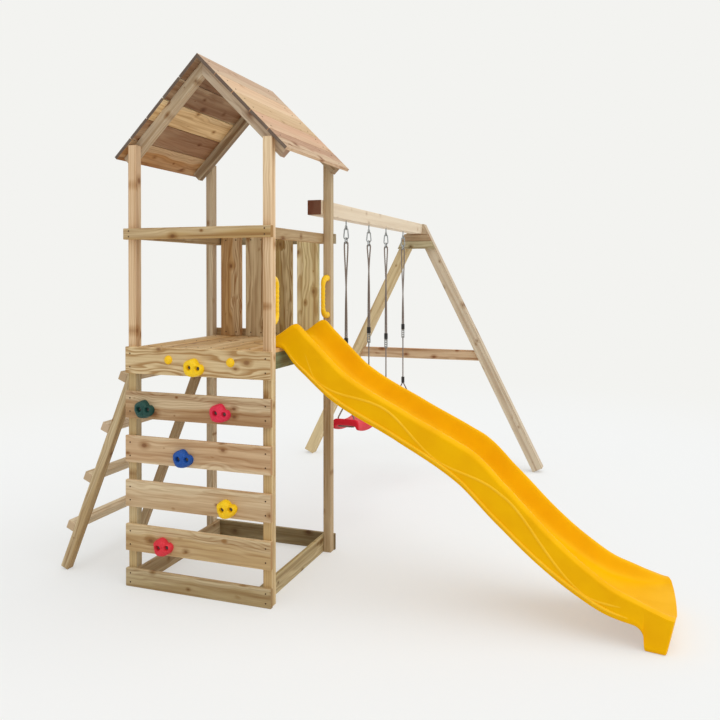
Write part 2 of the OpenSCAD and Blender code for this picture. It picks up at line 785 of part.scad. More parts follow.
module hold(index, tint) {
  color(tint)
    in_frame()
      difference() {
        at_hold(holds[index]) hold_stone();
        hold_bolt_places(holds[index]) {
          bolt_bore(hold_rise * 3);
          translate([0, -hold_floor, 0])
            rotate([90, 0, 0])
              cylinder(h = hold_rise - hold_floor, d1 = hold_head_d + 2 * bolt_clear, d2 = hold_sink_d);
        }
      }
}
module hold_yellow_top() { hold(0, "#f2c200"); }
module hold_green() { hold(1, "#1f4a42"); }
module hold_pink() { hold(2, "#e02f4b"); }
module hold_blue() { hold(3, "#1f4fb4"); }
module hold_yellow_low() { hold(4, "#f2c200"); }
module hold_red() { hold(5, "#e0343c"); }

// Head, shank and nut of every hold's bolts
module hold_bolts() {
  head_h = hold_bolt_d * 0.7;
  nut_h = hold_bolt_d * 0.8;
  color(steel_grey)
    in_frame()
      for (stone = holds)
        hold_bolt_places(stone)
          rotate([90, 0, 0]) {
            translate([0, 0, hold_floor]) cylinder(h = head_h, d = hold_head_d);
            translate([0, 0, -board_t - nut_h])
              cylinder(h = hold_floor + board_t + nut_h + overlap, d = hold_bolt_d);
            translate([0, 0, -board_t - nut_h]) cylinder(h = nut_h, d = hold_head_d, $fn = 6);
          }
}

// Two domed caps on the uppermost wall board, either side of its hold
module bolt_caps() {
  dome_r = (pow(cap_d / 2, 2) + pow(cap_h, 2)) / (2 * cap_h);
  color(grip_yellow)
    in_frame()
      for (x = [-cap_left, cap_right])
        translate([x, wall_face, climb_top(1) - cap_drop])
          rotate([90, 0, 0])
            intersection() {
              translate([0, 0, cap_h - dome_r]) sphere(r = dome_r, $fn = 96);
              cylinder(h = cap_h, d = cap_d);
            }
}

// Swing frame

module swing_beam() {
  color(pine_pale)
    in_frame()
      difference() {
        block([beam_x - beam_s / 2, inner_y - beam_front, beam_low], [beam_x + beam_s / 2, leg_y, beam_top]);
        for (y = swing_y, side = [-1, 1])
          translate([beam_x, y + side * rope_y, beam_low - overlap])
            cylinder(h = eye_bury + overlap, d = wire_d);
      }
}

// One leg, square at the foot, cut at the beam's top and where the two legs meet
module leg(side_x) {
  reach = leg_meet_h / cos(leg_lean);
  color(pine)
    in_frame()
      translate([beam_x, leg_y, 0])
        scale([side_x, 1, 1])
          intersection() {
            translate([leg_spread, 0, 0])
              rotate([0, -leg_lean, 0]) block([0, 0, 0], [beam_s, beam_s, reach + 3 * beam_s]);
            block([0, 0, -beam_s], [leg_spread + 2 * beam_s, beam_s, beam_top]);
          }
}
module leg_left() { leg(-1); }
module leg_right() { leg(1); }

module leg_cross_bar() {
  bar_high = bar_low + bar_h;
  y = leg_y + (beam_s - cleat_t) / 2;
  color(pine_brown)
    in_frame()
      translate([beam_x, 0, 0])
        along_y(y, y + cleat_t)
          polygon([
            [-leg_inner(bar_low), bar_low], [leg_inner(bar_low), bar_low],
            [leg_inner(bar_high), bar_high], [-leg_inner(bar_high), bar_high]
          ]);
}

// Two cleats across the legs, one on the other, that carry the beam's end
module leg_cleats() {
  color(pine_brown)
    in_frame()
      translate([beam_x, 0, 0])
        along_y(leg_y - cleat_t, leg_y)
          for (k = [0, 1]) {
            high = beam_low - k * (cleat_h + cleat_gap);
            low = high - cleat_h;
            polygon([
              [-leg_outer(low), low], [leg_outer(low), low], [leg_outer(high), high], [-leg_outer(high), high]
            ]);
          }
}

// Swing fittings

// A round wire bent to a full ring round the X axis
module wire_ring(radius) {
  rotate([0, 90, 0]) rotate_extrude() translate([radius, 0]) circle(d = wire_d, $fn = 32);
}

module eye_bolts() {
  color(steel_grey)
    in_frame()
      for (y = swing_y, side = [-1, 1])
        translate([beam_x, y + side * rope_y, 0]) {
          translate([0, 0, eye_z]) wire_ring(eye_r);
          translate([0, 0, eye_z + eye_r]) cylinder(h = beam_low + eye_bury - eye_z - eye_r, d = wire_d);
        }
}

// Places its children at one rope of a swing: end 0 is the front rope and end 1 the back rope
module at_rope(index, end) {
  in_frame() translate([beam_x, swing_y[index] + (2 * end - 1) * rope_y, 0]) children();
}

// A pear-shaped snap hook in the X-Z plane: a narrow upper bow, a wide lower bow and straight sides
function bow_ring(radius, z, angle) =
  [for (k = [0:hook_wire_sides - 1])
    let (a = k * 360 / hook_wire_sides, reach = radius + wire_r * cos(a))
    [reach * cos(angle), wire_r * sin(a), z + reach * sin(angle)]];
module snap_hook() {
  tilt = asin((hook_low_r - hook_top_r) / (hook_top_z - hook_low_z));
  low_step = (180 + 2 * tilt) / hook_bow_steps;
  top_step = (180 - 2 * tilt) / hook_bow_steps;
  low_bow = [for (k = [0:hook_bow_steps]) bow_ring(hook_low_r, hook_low_z, 180 - tilt + k * low_step)];
  top_bow = [for (k = [0:hook_bow_steps]) bow_ring(hook_top_r, hook_top_z, tilt + k * top_step)];
  closed_sweep(concat(low_bow, top_bow));
}
module swing_hooks(index) {
  color(steel_grey)
    for (end = [0, 1])
      at_rope(index, end) {
        snap_hook();
        translate([0, 0, ring_z]) wire_ring(ring_r);
      }
}

// Rope: a loop over the ring, a single fall below the adjuster, and a sling under the seat
module swing_ropes(index) {
  color(rope_brown)
    for (end = [0, 1])
      at_rope(index, end) {
        loft(rope_rings(loop_path(ferrule_top(index, end))));
        translate([0, 0, split_top(index)])
          cylinder(h = adjuster_low(index, end) - split_top(index), d = rope_d, $fn = 32);
        loft(rope_rings(sling_path(seat_h[index], split_low(index))));
      }
}

// Upper ferrules clamp the two strands, lower ferrules the two legs of the sling
module swing_ferrules(index) {
  spread = 2 * strand_x;
  color(ferrule_black)
    for (end = [0, 1])
      at_rope(index, end) {
        translate([0, 0, ferrule_low(index, end)])
          linear_extrude(height = ferrule_h)
            union() {
              square([spread, ferrule_t], center = true);
              for (side = [-1, 1]) translate([side * spread / 2, 0]) circle(d = ferrule_t);
            }
        translate([0, 0, split_low(index)]) cylinder(h = split_h, d = split_d);
      }
}

// A flat metal adjuster with three rope holes
module swing_adjusters(index) {
  color(steel_grey)
    for (end = [0, 1])
      at_rope(index, end)
        difference() {
          block([-adjuster_w / 2, -adjuster_t / 2, adjuster_low(index, end)],
                [adjuster_w / 2, adjuster_t / 2, ferrule_low(index, end)]);
          for (k = [1:3])
            translate([0, 0, adjuster_low(index, end) + k * adjuster_l / 4])
              rotate([90, 0, 0]) cylinder(h = 2 * adjuster_t, d = adjuster_hole_d, center = true);
        }
}

// Seat: a moulding that dips along its length, with round upper edges, turned-down long edges and round ends

// Half of the section as [across, depth below the top], from the middle of the top round to the middle below
seat_half = let (half = seat_d / 2) concat(
  [[0, 0]],
  [for (a = [0:30:90]) [half - seat_edge_r * (1 - sin(a)), seat_edge_r * (1 - cos(a))]],
  [for (a = [0:45:180]) [half - seat_lip_r * (1 - cos(a)), seat_drop - seat_lip_r * (1 - sin(a))]],
  [[half - 2.6 * seat_lip_r, seat_t], [0, seat_t]]
);
seat_outline = concat(seat_half, [for (k = [len(seat_half) - 2:-1:1]) [-seat_half[k][0], seat_half[k][1]]]);
seat_end_r = 12;
seat_steps = 10;
seat_flat_l = seat_l / 2 - seat_end_r;
// Places along the seat, each with how far the section draws in there
seat_stations = concat(
  [for (a = [90:-30:30]) [-seat_flat_l - seat_end_r * sin(a), seat_end_r * (1 - cos(a))]],
  [for (k = [0:seat_steps]) [seat_flat_l * (2 * k / seat_steps - 1), 0]],
  [for (a = [30:30:90]) [seat_flat_l + seat_end_r * sin(a), seat_end_r * (1 - cos(a))]]
);
function seat_top(y) = -seat_dip * (1 - pow(y / rope_y, 2));
// The turned-down edges run out at the ends
function seat_ring(station) =
  let (
    y = station[0],
    wide = 1 - 2 * station[1] / seat_d,
    deep = 1 - 2 * station[1] / seat_t,
    turned = 1 - station[1] / seat_end_r
  )
  [for (p = seat_outline)
    let (depth = min(p[1], seat_t) + turned * max(0, p[1] - seat_t))
    [wide * p[0], y, seat_top(y) - seat_t / 2 - deep * (depth - seat_t / 2)]];
module seat(index) {
  color(seat_red)
    in_frame()
      translate([beam_x, swing_y[index], seat_h[index]])
        difference() {
          loft([for (station = seat_stations) seat_ring(station)]);
          for (x = [-1, 1], y = [-1, 1])
            translate([x * seat_hole_x, y * rope_y, -2 * seat_t])
              cylinder(h = 3 * seat_t, d = rope_d + 2 * seat_hole_clear);
        }
}

module swing_1_hooks() { swing_hooks(0); }
module swing_1_ropes() { swing_ropes(0); }
module swing_1_ferrules() { swing_ferrules(0); }
module swing_1_adjusters() { swing_adjusters(0); }
module swing_1_seat() { seat(0); }
module swing_2_hooks() { swing_hooks(1); }
module swing_2_ropes() { swing_ropes(1); }
module swing_2_ferrules() { swing_ferrules(1); }
module swing_2_adjusters() { swing_adjusters(1); }
module swing_2_seat() { seat(1); }

post_front_left();
post_front_right();
post_back_left();
post_back_right();
base_front();
base_back();
base_left();
base_right();
climb_board_1();
climb_board_2();
climb_board_3();
climb_board_4();
climb_board_5();
deck_board_back();
joist_left();
joist_right();
deck_bearers();
deck_boards();
guard_rail_front();
guard_rail_back();
guard_rail_left();
guard_rail_right();
back_panel_boards();
rafter_front_left();
rafter_front_right();
rafter_back_left();
rafter_back_right();
roof_boards_left();
roof_boards_right();
ladder_rail_front();
ladder_rail_back();
ladder_rungs();
slide();
hand_grip_front();
hand_grip_back();
hold_yellow_top();
hold_green();
hold_pink();
hold_blue();
hold_yellow_low();
hold_red();
hold_bolts();
bolt_caps();
swing_beam();
leg_left();
leg_right();
leg_cross_bar();
leg_cleats();
eye_bolts();
swing_1_hooks();
swing_1_ropes();
swing_1_ferrules();
swing_1_adjusters();
swing_1_seat();
swing_2_hooks();
swing_2_ropes();
swing_2_ferrules();
swing_2_adjusters();
swing_2_seat();
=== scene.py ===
import json
import math
import random

import bmesh
import bpy
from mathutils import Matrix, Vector, noise


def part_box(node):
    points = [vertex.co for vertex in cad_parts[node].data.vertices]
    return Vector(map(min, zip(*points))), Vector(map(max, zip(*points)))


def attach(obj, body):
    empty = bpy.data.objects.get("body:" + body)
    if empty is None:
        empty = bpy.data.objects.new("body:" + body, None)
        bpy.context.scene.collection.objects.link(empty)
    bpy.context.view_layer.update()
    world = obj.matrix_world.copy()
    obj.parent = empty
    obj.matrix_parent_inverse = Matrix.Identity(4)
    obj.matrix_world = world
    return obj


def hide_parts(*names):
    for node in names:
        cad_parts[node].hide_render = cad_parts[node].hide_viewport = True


# A wooden climbing frame: a roofed tower with a climbing wall, a ladder and a wave slide,
# and a beam with two swings. The frame is in metres: X runs along the wall towards the slide,
# Y back towards the swings and Z up. Sizes of pieces are in millimetres.

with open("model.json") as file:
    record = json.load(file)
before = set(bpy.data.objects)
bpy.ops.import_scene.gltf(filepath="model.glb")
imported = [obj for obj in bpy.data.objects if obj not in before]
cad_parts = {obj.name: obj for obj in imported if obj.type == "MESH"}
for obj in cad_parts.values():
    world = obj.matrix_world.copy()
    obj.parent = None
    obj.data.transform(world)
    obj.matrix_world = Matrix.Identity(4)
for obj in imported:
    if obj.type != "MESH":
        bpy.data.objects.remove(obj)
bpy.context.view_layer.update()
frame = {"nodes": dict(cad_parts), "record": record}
MM = 0.001

POST_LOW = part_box("post_front_left")[0]
POST_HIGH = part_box("post_back_right")[1]
TOWER = Vector(((POST_LOW.x + POST_HIGH.x) / 2, (POST_LOW.y + POST_HIGH.y) / 2, 0))
POST_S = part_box("post_front_left")[1].x - POST_LOW.x


def at(x, y, z):
    """A place given in millimetres from the middle of the tower's foot."""
    return TOWER + Vector((x, y, z)) * MM


# Tools for nodes and meshes

def linear(hex_colour):
    """An sRGB hex colour as linear RGBA."""
    shares = [int(hex_colour[i:i + 2], 16) / 255 for i in (1, 3, 5)]
    return tuple(c / 12.92 if c <= 0.04045 else ((c + 0.055) / 1.055) ** 2.4 for c in shares) + (1.0,)


def add_node(tree, kind, inputs=None, **settings):
    """Adds a node; an input is a value, another node's socket, or a node for its first output."""
    made = tree.nodes.new(kind)
    for name, value in settings.items():
        setattr(made, name, value)
    for key, value in (inputs or {}).items():
        if isinstance(value, bpy.types.Node):
            value = value.outputs[0]
        if isinstance(value, bpy.types.NodeSocket):
            tree.links.new(value, made.inputs[key])
        else:
            made.inputs[key].default_value = value
    return made


def new_material(name):
    """An empty material with its node tree and its shader."""
    material = bpy.data.materials.new(name)
    material.use_nodes = True
    return material, material.node_tree, material.node_tree.nodes["Principled BSDF"]


def new_piece(name, mesh, material=None, smooth=True):
    """An object at the origin that shows a mesh."""
    piece = bpy.data.objects.new(name, mesh)
    bpy.context.scene.collection.objects.link(piece)
    if material:
        mesh.materials.clear()
        mesh.materials.append(material)
    mesh.polygons.foreach_set("use_smooth", [smooth] * len(mesh.polygons))
    return piece


def plain_mesh(source):
    """The evaluated mesh of an object whose modifiers have done their work; the object goes."""
    depsgraph = bpy.context.evaluated_depsgraph_get()
    mesh = bpy.data.meshes.new_from_object(source.evaluated_get(depsgraph))
    bpy.data.objects.remove(source)
    return mesh


def tube_faces(count, rings):
    """Faces of a closed tube through rings of that many points: its sides, and a face at each end."""
    faces = []
    for r in range(rings - 1):
        for k in range(count):
            after = (k + 1) % count
            faces.append([count * r + k, count * r + after, count * (r + 1) + after, count * (r + 1) + k])
    last = count * (rings - 1)
    return faces + [list(range(count)), list(range(last, last + count))]


def outward(mesh):
    """Merges doubles and turns all faces outwards."""
    shape = bmesh.new()
    shape.from_mesh(mesh)
    bmesh.ops.remove_doubles(shape, verts=shape.verts, dist=0.01 * MM)
    bmesh.ops.recalc_face_normals(shape, faces=shape.faces)
    shape.to_mesh(mesh)
    shape.free()
    return mesh


def fit(piece, body, slot, *nodes):
    """Puts a piece on its body and hides the nodes that it stands for; slot, its finish, is not used."""
    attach(piece, body)
    if nodes:
        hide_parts(*nodes)
    return piece


def dress(node, material):
    """Gives a node that keeps its own shape a better material."""
    mesh = frame["nodes"][node].data
    mesh.materials.clear()
    mesh.materials.append(material)


def node_group(name, sockets):
    """A geometry tree with a geometry in and out and named inputs."""
    tree = bpy.data.node_groups.new(name, "GeometryNodeTree")
    tree.interface.new_socket("Geometry", in_out="INPUT", socket_type="NodeSocketGeometry")
    tree.interface.new_socket("Geometry", in_out="OUTPUT", socket_type="NodeSocketGeometry")
    for label, kind in sockets.items():
        tree.interface.new_socket(label, in_out="INPUT", socket_type="NodeSocket" + kind)
    return tree, add_node(tree, "NodeGroupInput"), add_node(tree, "NodeGroupOutput")


def run_tree(source, tree, values):
    """Runs a geometry tree on an object, with its inputs set by identifier, and returns the plain mesh."""
    modifier = source.modifiers.new(tree.name, "NODES")
    modifier.node_group = tree
    for item in tree.interface.items_tree:
        if item.in_out == "INPUT" and item.name in values:
            modifier[item.identifier] = values[item.name]
    return plain_mesh(source)


# Materials

def planed_pine():
    """Pressure-treated pine, planed: pale sapwood away from the pith, soft rings, knots, dull and dry."""
    ring_w = 12 * MM            # about four times a real ring, so that it shows
    streak_w = 4 * MM           # fibre streaks, also coarser than real
    band_w = 24 * MM            # slow and fast years, as bands along the board
    sap_from, sap_to = 88 * MM, 95 * MM
    knot_gap = Vector((240, 80, 85)) * MM
    knot_r = 13 * MM
    material, tree, shader = new_material("planed_pine")
    grain = add_node(tree, "ShaderNodeAttribute", attribute_name="grain").outputs["Vector"]
    board = add_node(tree, "ShaderNodeAttribute", attribute_name="tint")
    tint, figure = board.outputs["Color"], board.outputs["Alpha"]
    gain = add_node(tree, "ShaderNodeMapRange", {0: figure, 1: 0.0, 2: 0.25})

    # Knots: branches that cross the board, one here and there
    sites = add_node(tree, "ShaderNodeVectorMath", {0: grain, 1: knot_gap}, operation="DIVIDE")
    cells = add_node(tree, "ShaderNodeTexVoronoi", {"Vector": sites, "Scale": 1.0}, feature="F1")
    centre = add_node(tree, "ShaderNodeVectorMath", {0: cells.outputs["Position"], 1: knot_gap},
                      operation="MULTIPLY")
    away = add_node(tree, "ShaderNodeVectorMath", {0: grain, 1: centre}, operation="SUBTRACT")
    oval = add_node(tree, "ShaderNodeVectorMath", {0: away, 1: (0.7, 1.0, 0.15)}, operation="MULTIPLY")
    reach = add_node(tree, "ShaderNodeVectorMath", {0: oval}, operation="LENGTH").outputs["Value"]
    lot = add_node(tree, "ShaderNodeSeparateColor", {0: cells.outputs["Color"]}).outputs[0]
    radius = add_node(tree, "ShaderNodeMapRange", {0: lot, 1: 0.3, 2: 1.0, 3: 0.05 * MM, 4: knot_r})
    ratio = add_node(tree, "ShaderNodeMath", {0: reach, 1: radius}, operation="DIVIDE")
    knot = add_node(tree, "ShaderNodeMapRange", {0: ratio, 1: 0.4, 2: 1.25, 3: 0.8, 4: 0.0},
                    interpolation_type="SMOOTHSTEP")
    halo = add_node(tree, "ShaderNodeMapRange", {0: ratio, 1: 0.9, 2: 2.8, 3: 0.5, 4: 0.0},
                    interpolation_type="SMOOTHSTEP")

    # Growth rings: distance from the pith, which wanders along the board and bends round the knots
    part = add_node(tree, "ShaderNodeSeparateXYZ", {0: grain})
    aside = add_node(tree, "ShaderNodeSeparateXYZ", {0: away})
    bend = add_node(tree, "ShaderNodeMapRange", {0: ratio, 1: 0.0, 2: 4.5, 3: 0.8, 4: 0.0},
                    interpolation_type="SMOOTHSTEP")
    shove = add_node(tree, "ShaderNodeMath", {0: aside.outputs[1], 1: bend}, operation="MULTIPLY")
    slow = add_node(tree, "ShaderNodeVectorMath", {0: grain, 1: (2.6, 7.0, 7.0)}, operation="MULTIPLY")
    wander = add_node(tree, "ShaderNodeTexNoise", {"Vector": slow, "Scale": 1.0, "Detail": 2.0})
    drift = add_node(tree, "ShaderNodeMapRange", {0: wander, 1: 0.0, 2: 1.0, 3: -0.07, 4: 0.07})
    across = add_node(tree, "ShaderNodeMath", {0: part.outputs[1], 1: shove}, operation="SUBTRACT")
    across = add_node(tree, "ShaderNodeMath", {0: across, 1: drift}, operation="ADD")
    spot = add_node(tree, "ShaderNodeCombineXYZ", {1: across, 2: part.outputs[2]})
    pith = add_node(tree, "ShaderNodeVectorMath", {0: spot}, operation="LENGTH").outputs["Value"]
    years = add_node(tree, "ShaderNodeVectorMath", {0: grain, 1: (0.9, 1 / band_w, 1 / band_w)},
                     operation="MULTIPLY")
    band = add_node(tree, "ShaderNodeTexNoise", {"Vector": years, "Scale": 1.0, "Detail": 2.0})
    turns = add_node(tree, "ShaderNodeMath", {0: pith, 1: ring_w}, operation="DIVIDE")
    turns = add_node(tree, "ShaderNodeMath", {0: band, 1: 1.6, 2: turns}, operation="MULTIPLY_ADD")
    year = add_node(tree, "ShaderNodeMath", {0: turns}, operation="FRACT")
    rise = add_node(tree, "ShaderNodeMapRange", {0: year, 1: 0.2, 2: 0.8}, interpolation_type="SMOOTHSTEP")
    fall = add_node(tree, "ShaderNodeMapRange", {0: year, 1: 0.8, 2: 1.0, 3: 1.0, 4: 0.0},
                    interpolation_type="SMOOTHSTEP")
    late = add_node(tree, "ShaderNodeMath", {0: rise, 1: fall}, operation="MULTIPLY")
    late = add_node(tree, "ShaderNodeMath", {0: late, 1: figure}, operation="MULTIPLY")

    # Fibre streaks, and broad patches where the wood was slow to dry
    fine = add_node(tree, "ShaderNodeVectorMath", {0: grain, 1: (5.0, 1 / streak_w, 1 / streak_w)},
                    operation="MULTIPLY")
    streak = add_node(tree, "ShaderNodeTexNoise", {"Vector": fine, "Scale": 1.0, "Detail": 3.0})
    broad = add_node(tree, "ShaderNodeVectorMath", {0: grain, 1: (2.6, 13.0, 13.0)}, operation="MULTIPLY")
    patch = add_node(tree, "ShaderNodeTexNoise", {"Vector": broad, "Scale": 1.0, "Detail": 3.0})

    # Colour, from the board's own tint
    brown = add_node(tree, "ShaderNodeMix", {0: 1.0, 6: tint, 7: linear("#c3aa8d")},
                     data_type="RGBA", blend_type="MULTIPLY").outputs[2]
    pale = add_node(tree, "ShaderNodeMix", {0: 0.45, 6: tint, 7: linear("#f3e4bf")},
                    data_type="RGBA").outputs[2]
    sap = add_node(tree, "ShaderNodeMapRange", {0: pith, 1: sap_from, 2: sap_to, 3: 0.0, 4: 0.9},
                   interpolation_type="SMOOTHSTEP")
    dry = add_node(tree, "ShaderNodeMapRange", {0: patch, 1: 0.45, 2: 0.7, 3: 0.0, 4: 0.5},
                   interpolation_type="SMOOTHSTEP")
    light = add_node(tree, "ShaderNodeMath", {0: sap, 1: dry}, operation="MAXIMUM")
    light = add_node(tree, "ShaderNodeMath", {0: light, 1: gain}, operation="MULTIPLY")
    wood = add_node(tree, "ShaderNodeMix", {0: light, 6: tint, 7: pale}, data_type="RGBA").outputs[2]
    lines = add_node(tree, "ShaderNodeMapRange", {0: streak, 1: 0.4, 2: 0.75, 3: 0.0, 4: 0.3})
    slack = add_node(tree, "ShaderNodeMapRange", {0: band, 1: 0.42, 2: 0.7, 3: 0.0, 4: 0.45},
                     interpolation_type="SMOOTHSTEP")
    rings = add_node(tree, "ShaderNodeMath", {0: late, 1: 0.9, 2: lines}, operation="MULTIPLY_ADD")
    dark = add_node(tree, "ShaderNodeMath", {0: rings, 1: slack}, operation="ADD")
    dark = add_node(tree, "ShaderNodeMath", {0: dark, 1: halo}, operation="ADD")
    dark = add_node(tree, "ShaderNodeMath", {0: dark, 1: gain}, operation="MULTIPLY", use_clamp=True)
    wood = add_node(tree, "ShaderNodeMix", {0: dark, 6: wood, 7: brown}, data_type="RGBA").outputs[2]
    core = add_node(tree, "ShaderNodeMix", {0: 1.0, 6: tint, 7: linear("#967358")}, data_type="RGBA",
                    blend_type="MULTIPLY").outputs[2]
    heart = add_node(tree, "ShaderNodeMath", {0: knot, 1: gain}, operation="MULTIPLY")
    wood = add_node(tree, "ShaderNodeMix", {0: heart, 6: wood, 7: core}, data_type="RGBA").outputs[2]
    dull = add_node(tree, "ShaderNodeMapRange", {0: rings, 3: 0.76, 4: 0.6})
    relief = add_node(tree, "ShaderNodeMath", {0: rings, 1: knot}, operation="ADD")
    bump = add_node(tree, "ShaderNodeBump", {"Strength": 0.3, "Distance": 0.6 * MM, "Height": relief})
    tree.links.new(wood, shader.inputs["Base Color"])
    tree.links.new(dull.outputs[0], shader.inputs["Roughness"])
    tree.links.new(bump.outputs[0], shader.inputs["Normal"])
    shader.inputs["IOR"].default_value = 1.53
    shader.inputs["Specular IOR Level"].default_value = 0.3
    return material


def moulded_plastic(name, colour, shade, gloss, pebble=2.5 * MM, depth=0.15 * MM, level=0.5):
    """Moulded plastic, coloured through: a satin skin with the mould's fine pebble, deeper in places."""
    material, tree, shader = new_material(name)
    place = add_node(tree, "ShaderNodeTexCoord").outputs["Object"]
    cloud = add_node(tree, "ShaderNodeTexNoise", {"Vector": place, "Scale": 7.0, "Detail": 3.0})
    grit = add_node(tree, "ShaderNodeTexNoise", {"Vector": place, "Scale": 1 / pebble, "Detail": 2.0})
    tone = add_node(tree, "ShaderNodeMapRange", {0: cloud, 1: 0.38, 2: 0.66})
    skin = add_node(tree, "ShaderNodeMix", {0: tone, 6: linear(colour), 7: linear(shade)},
                    data_type="RGBA").outputs[2]
    satin = add_node(tree, "ShaderNodeMapRange", {0: cloud, 1: 0.3, 2: 0.7, 3: gloss - 0.05, 4: gloss + 0.07})
    bump = add_node(tree, "ShaderNodeBump", {"Strength": 0.3, "Distance": depth, "Height": grit})
    tree.links.new(skin, shader.inputs["Base Color"])
    tree.links.new(satin.outputs[0], shader.inputs["Roughness"])
    tree.links.new(bump.outputs[0], shader.inputs["Normal"])
    shader.inputs["IOR"].default_value = 1.5
    shader.inputs["Specular IOR Level"].default_value = level
    return material


def plated_steel(name, colour, bright, roughness):
    """Plated steel: metal with a fine spangle of two tones in its colour and its shine."""
    spangle = 3 * MM
    material, tree, shader = new_material(name)
    place = add_node(tree, "ShaderNodeTexCoord").outputs["Object"]
    crystals = add_node(tree, "ShaderNodeTexVoronoi", {"Vector": place, "Scale": 1 / spangle})
    lot = add_node(tree, "ShaderNodeSeparateColor", {0: crystals.outputs["Color"]}).outputs[0]
    tone = add_node(tree, "ShaderNodeMix", {0: lot, 6: linear(colour), 7: linear(bright)},
                    data_type="RGBA").outputs[2]
    shine = add_node(tree, "ShaderNodeMapRange", {0: lot, 3: roughness - 0.07, 4: roughness + 0.09})
    tree.links.new(tone, shader.inputs["Base Color"])
    tree.links.new(shine.outputs[0], shader.inputs["Roughness"])
    shader.inputs["Metallic"].default_value = 1.0
    return material


def twisted_rope():
    """Three-strand polypropylene rope: the strands are shaped, the fibres are fine dull streaks."""
    fibre = 1.5 * MM
    material, tree, shader = new_material("polypropylene_rope")
    place = add_node(tree, "ShaderNodeTexCoord").outputs["Object"]
    hair = add_node(tree, "ShaderNodeTexNoise", {"Vector": place, "Scale": 1 / fibre, "Detail": 3.0})
    tone = add_node(tree, "ShaderNodeMix", {0: hair, 6: linear("#6d6158"), 7: linear("#a0938a")},
                    data_type="RGBA").outputs[2]
    rough = add_node(tree, "ShaderNodeMapRange", {0: hair, 3: 0.6, 4: 0.9})
    bump = add_node(tree, "ShaderNodeBump", {"Strength": 0.5, "Distance": 0.5 * MM, "Height": hair})
    tree.links.new(tone, shader.inputs["Base Color"])
    tree.links.new(rough.outputs[0], shader.inputs["Roughness"])
    tree.links.new(bump.outputs[0], shader.inputs["Normal"])
    return material


PINE = planed_pine()
SLIDE_PLASTIC = moulded_plastic("polyethylene_yellow", "#f8ba00", "#f2b100", 0.42, level=0.06)
GRIP_PLASTIC = moulded_plastic("polypropylene_yellow", "#ffd01a", "#f9c512", 0.36, level=0.3)
# Ridges of the same moulding, tinted paler as a painted highlight where their tops catch the light
RIDGE_PAINTED_HIGHLIGHT_PLASTIC = moulded_plastic("polyethylene_yellow_painted_highlight", "#fdc62c", "#fabf20", 0.42, level=0.06)
SEAT_PLASTIC = moulded_plastic("polyethylene_red", "#dc2437", "#cf1c2e", 0.4, level=0.15)
FERRULE_PLASTIC = moulded_plastic("nylon_black", "#262626", "#1c1c1c", 0.45)
ZINC = plated_steel("zinc_plated_steel", "#8d9193", "#bcc0c1", 0.36)
SCREW_STEEL = plated_steel("browned_steel_screws", "#4e3b29", "#6a5540", 0.6)
# Steel for the holds' bolts, darkened as painted shade for the deep holes that they sit in
BOLT_PAINTED_SHADE_STEEL = plated_steel("steel_bolts_painted_shade", "#4b4642", "#6f6963", 0.55)
ROPE = twisted_rope()


# Timber

ARRIS = 2.5 * MM                # how far the edges are eased
ROOF_ARRIS = 0.6 * MM           # roof boards lie close, with sharp edges
BOARD_SHAPE = 1.7               # timber that is wider than this many times its thickness is a board
ON_FACE = 0.6                   # how far a corner's normal leans to a face that it is tinted with
LENGTH_WAY = Vector((1, 2, 3))  # a board's length runs upwards, or else back or to the right
# The way that a board's face looks, of its widest sides, and the same for square timber seen from its right
FACING, SIDE_FACING = Vector((0.5, -1, 0.7)), Vector((1, -0.5, 0.7))
SIDE_FACED = ("post_front_left", "post_front_right", "swing_beam")
END_SHADE = (0.74, 0.64, 0.56)  # end grain drinks more stain than faces do
END_FIGURE = 0.02
# Tint of the end faces where it isn't only a darker tone of the board
END_TINTS = {"swing_beam": "#70412b", "roof_boards_left": "#66564a", "roof_boards_right": "#6f5d50"}
# Tints of the front posts: forward face and other faces below the deck, then the forward face
# at the deck and at the top. They are partly the wood's own tone and partly painted shade and light: darker
# below the deck among the wall boards, paler with height on the forward face
POST_TINTS_WITH_PAINTED_SHADE_AND_LIGHT = {"post_front_left": ("#c9b07f", "#c2b592", "#e7c79d", "#f0d1aa"),
              "post_front_right": ("#cbac77", "#dcc89b", "#dfbd93", "#f9ddb5")}
# Heights between which these tints change, behind the uppermost board of the wall
POST_CUTS = [corner.z + step * MM for corner, step in zip(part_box("climb_board_1"), (10, -10))]
# How strongly the rings show, from 0 to 1
FIGURE = 0.33
FIGURES = {"climb_board_1": 1.0, "swing_beam": 0.1, "leg_left": 0.2, "leg_right": 0.2, "leg_cross_bar": 0.36,
           "roof_boards_right": 0.13, "roof_boards_right 4": 0.28, "back_panel_boards": 0.6}
# Where the pith lies from the middle of a board's face, across and behind it in millimetres, if not by lot:
# a face far from it on one side shows pale sapwood there. A number after the node is the board's place in it.
PITHS = {
    "roof_boards_left 0": (-48, 62), "roof_boards_right 0": (-42, 62), "roof_boards_right 4": (-48, 62),
    "climb_board_1": (0, 40), "climb_board_2": (48, 60), "climb_board_3": (-10, 55),
    "climb_board_4": (15, 62), "climb_board_5": (40, 60), "swing_beam": (0, 95),
    "guard_rail_front": (30, 75), "back_panel_boards 0": (-48, 62), "back_panel_boards 2": (-38, 62),
}
PITH_ACROSS, PITH_BEHIND = (-40, 40), (45, 90)
# Where along the trunk a board is cut, in metres, if not by lot: this decides where its knots lie
STARTS = {"climb_board_1": 103.4, "climb_board_2": 105.1, "climb_board_3": 105.16, "climb_board_4": 108.5,
          "climb_board_5": 106.8}
TRUNK = 90
EDGE_PAINTED_LIGHT = 1.22               # narrow edges of boards are tinted paler than their faces: painted light for the lit top edges
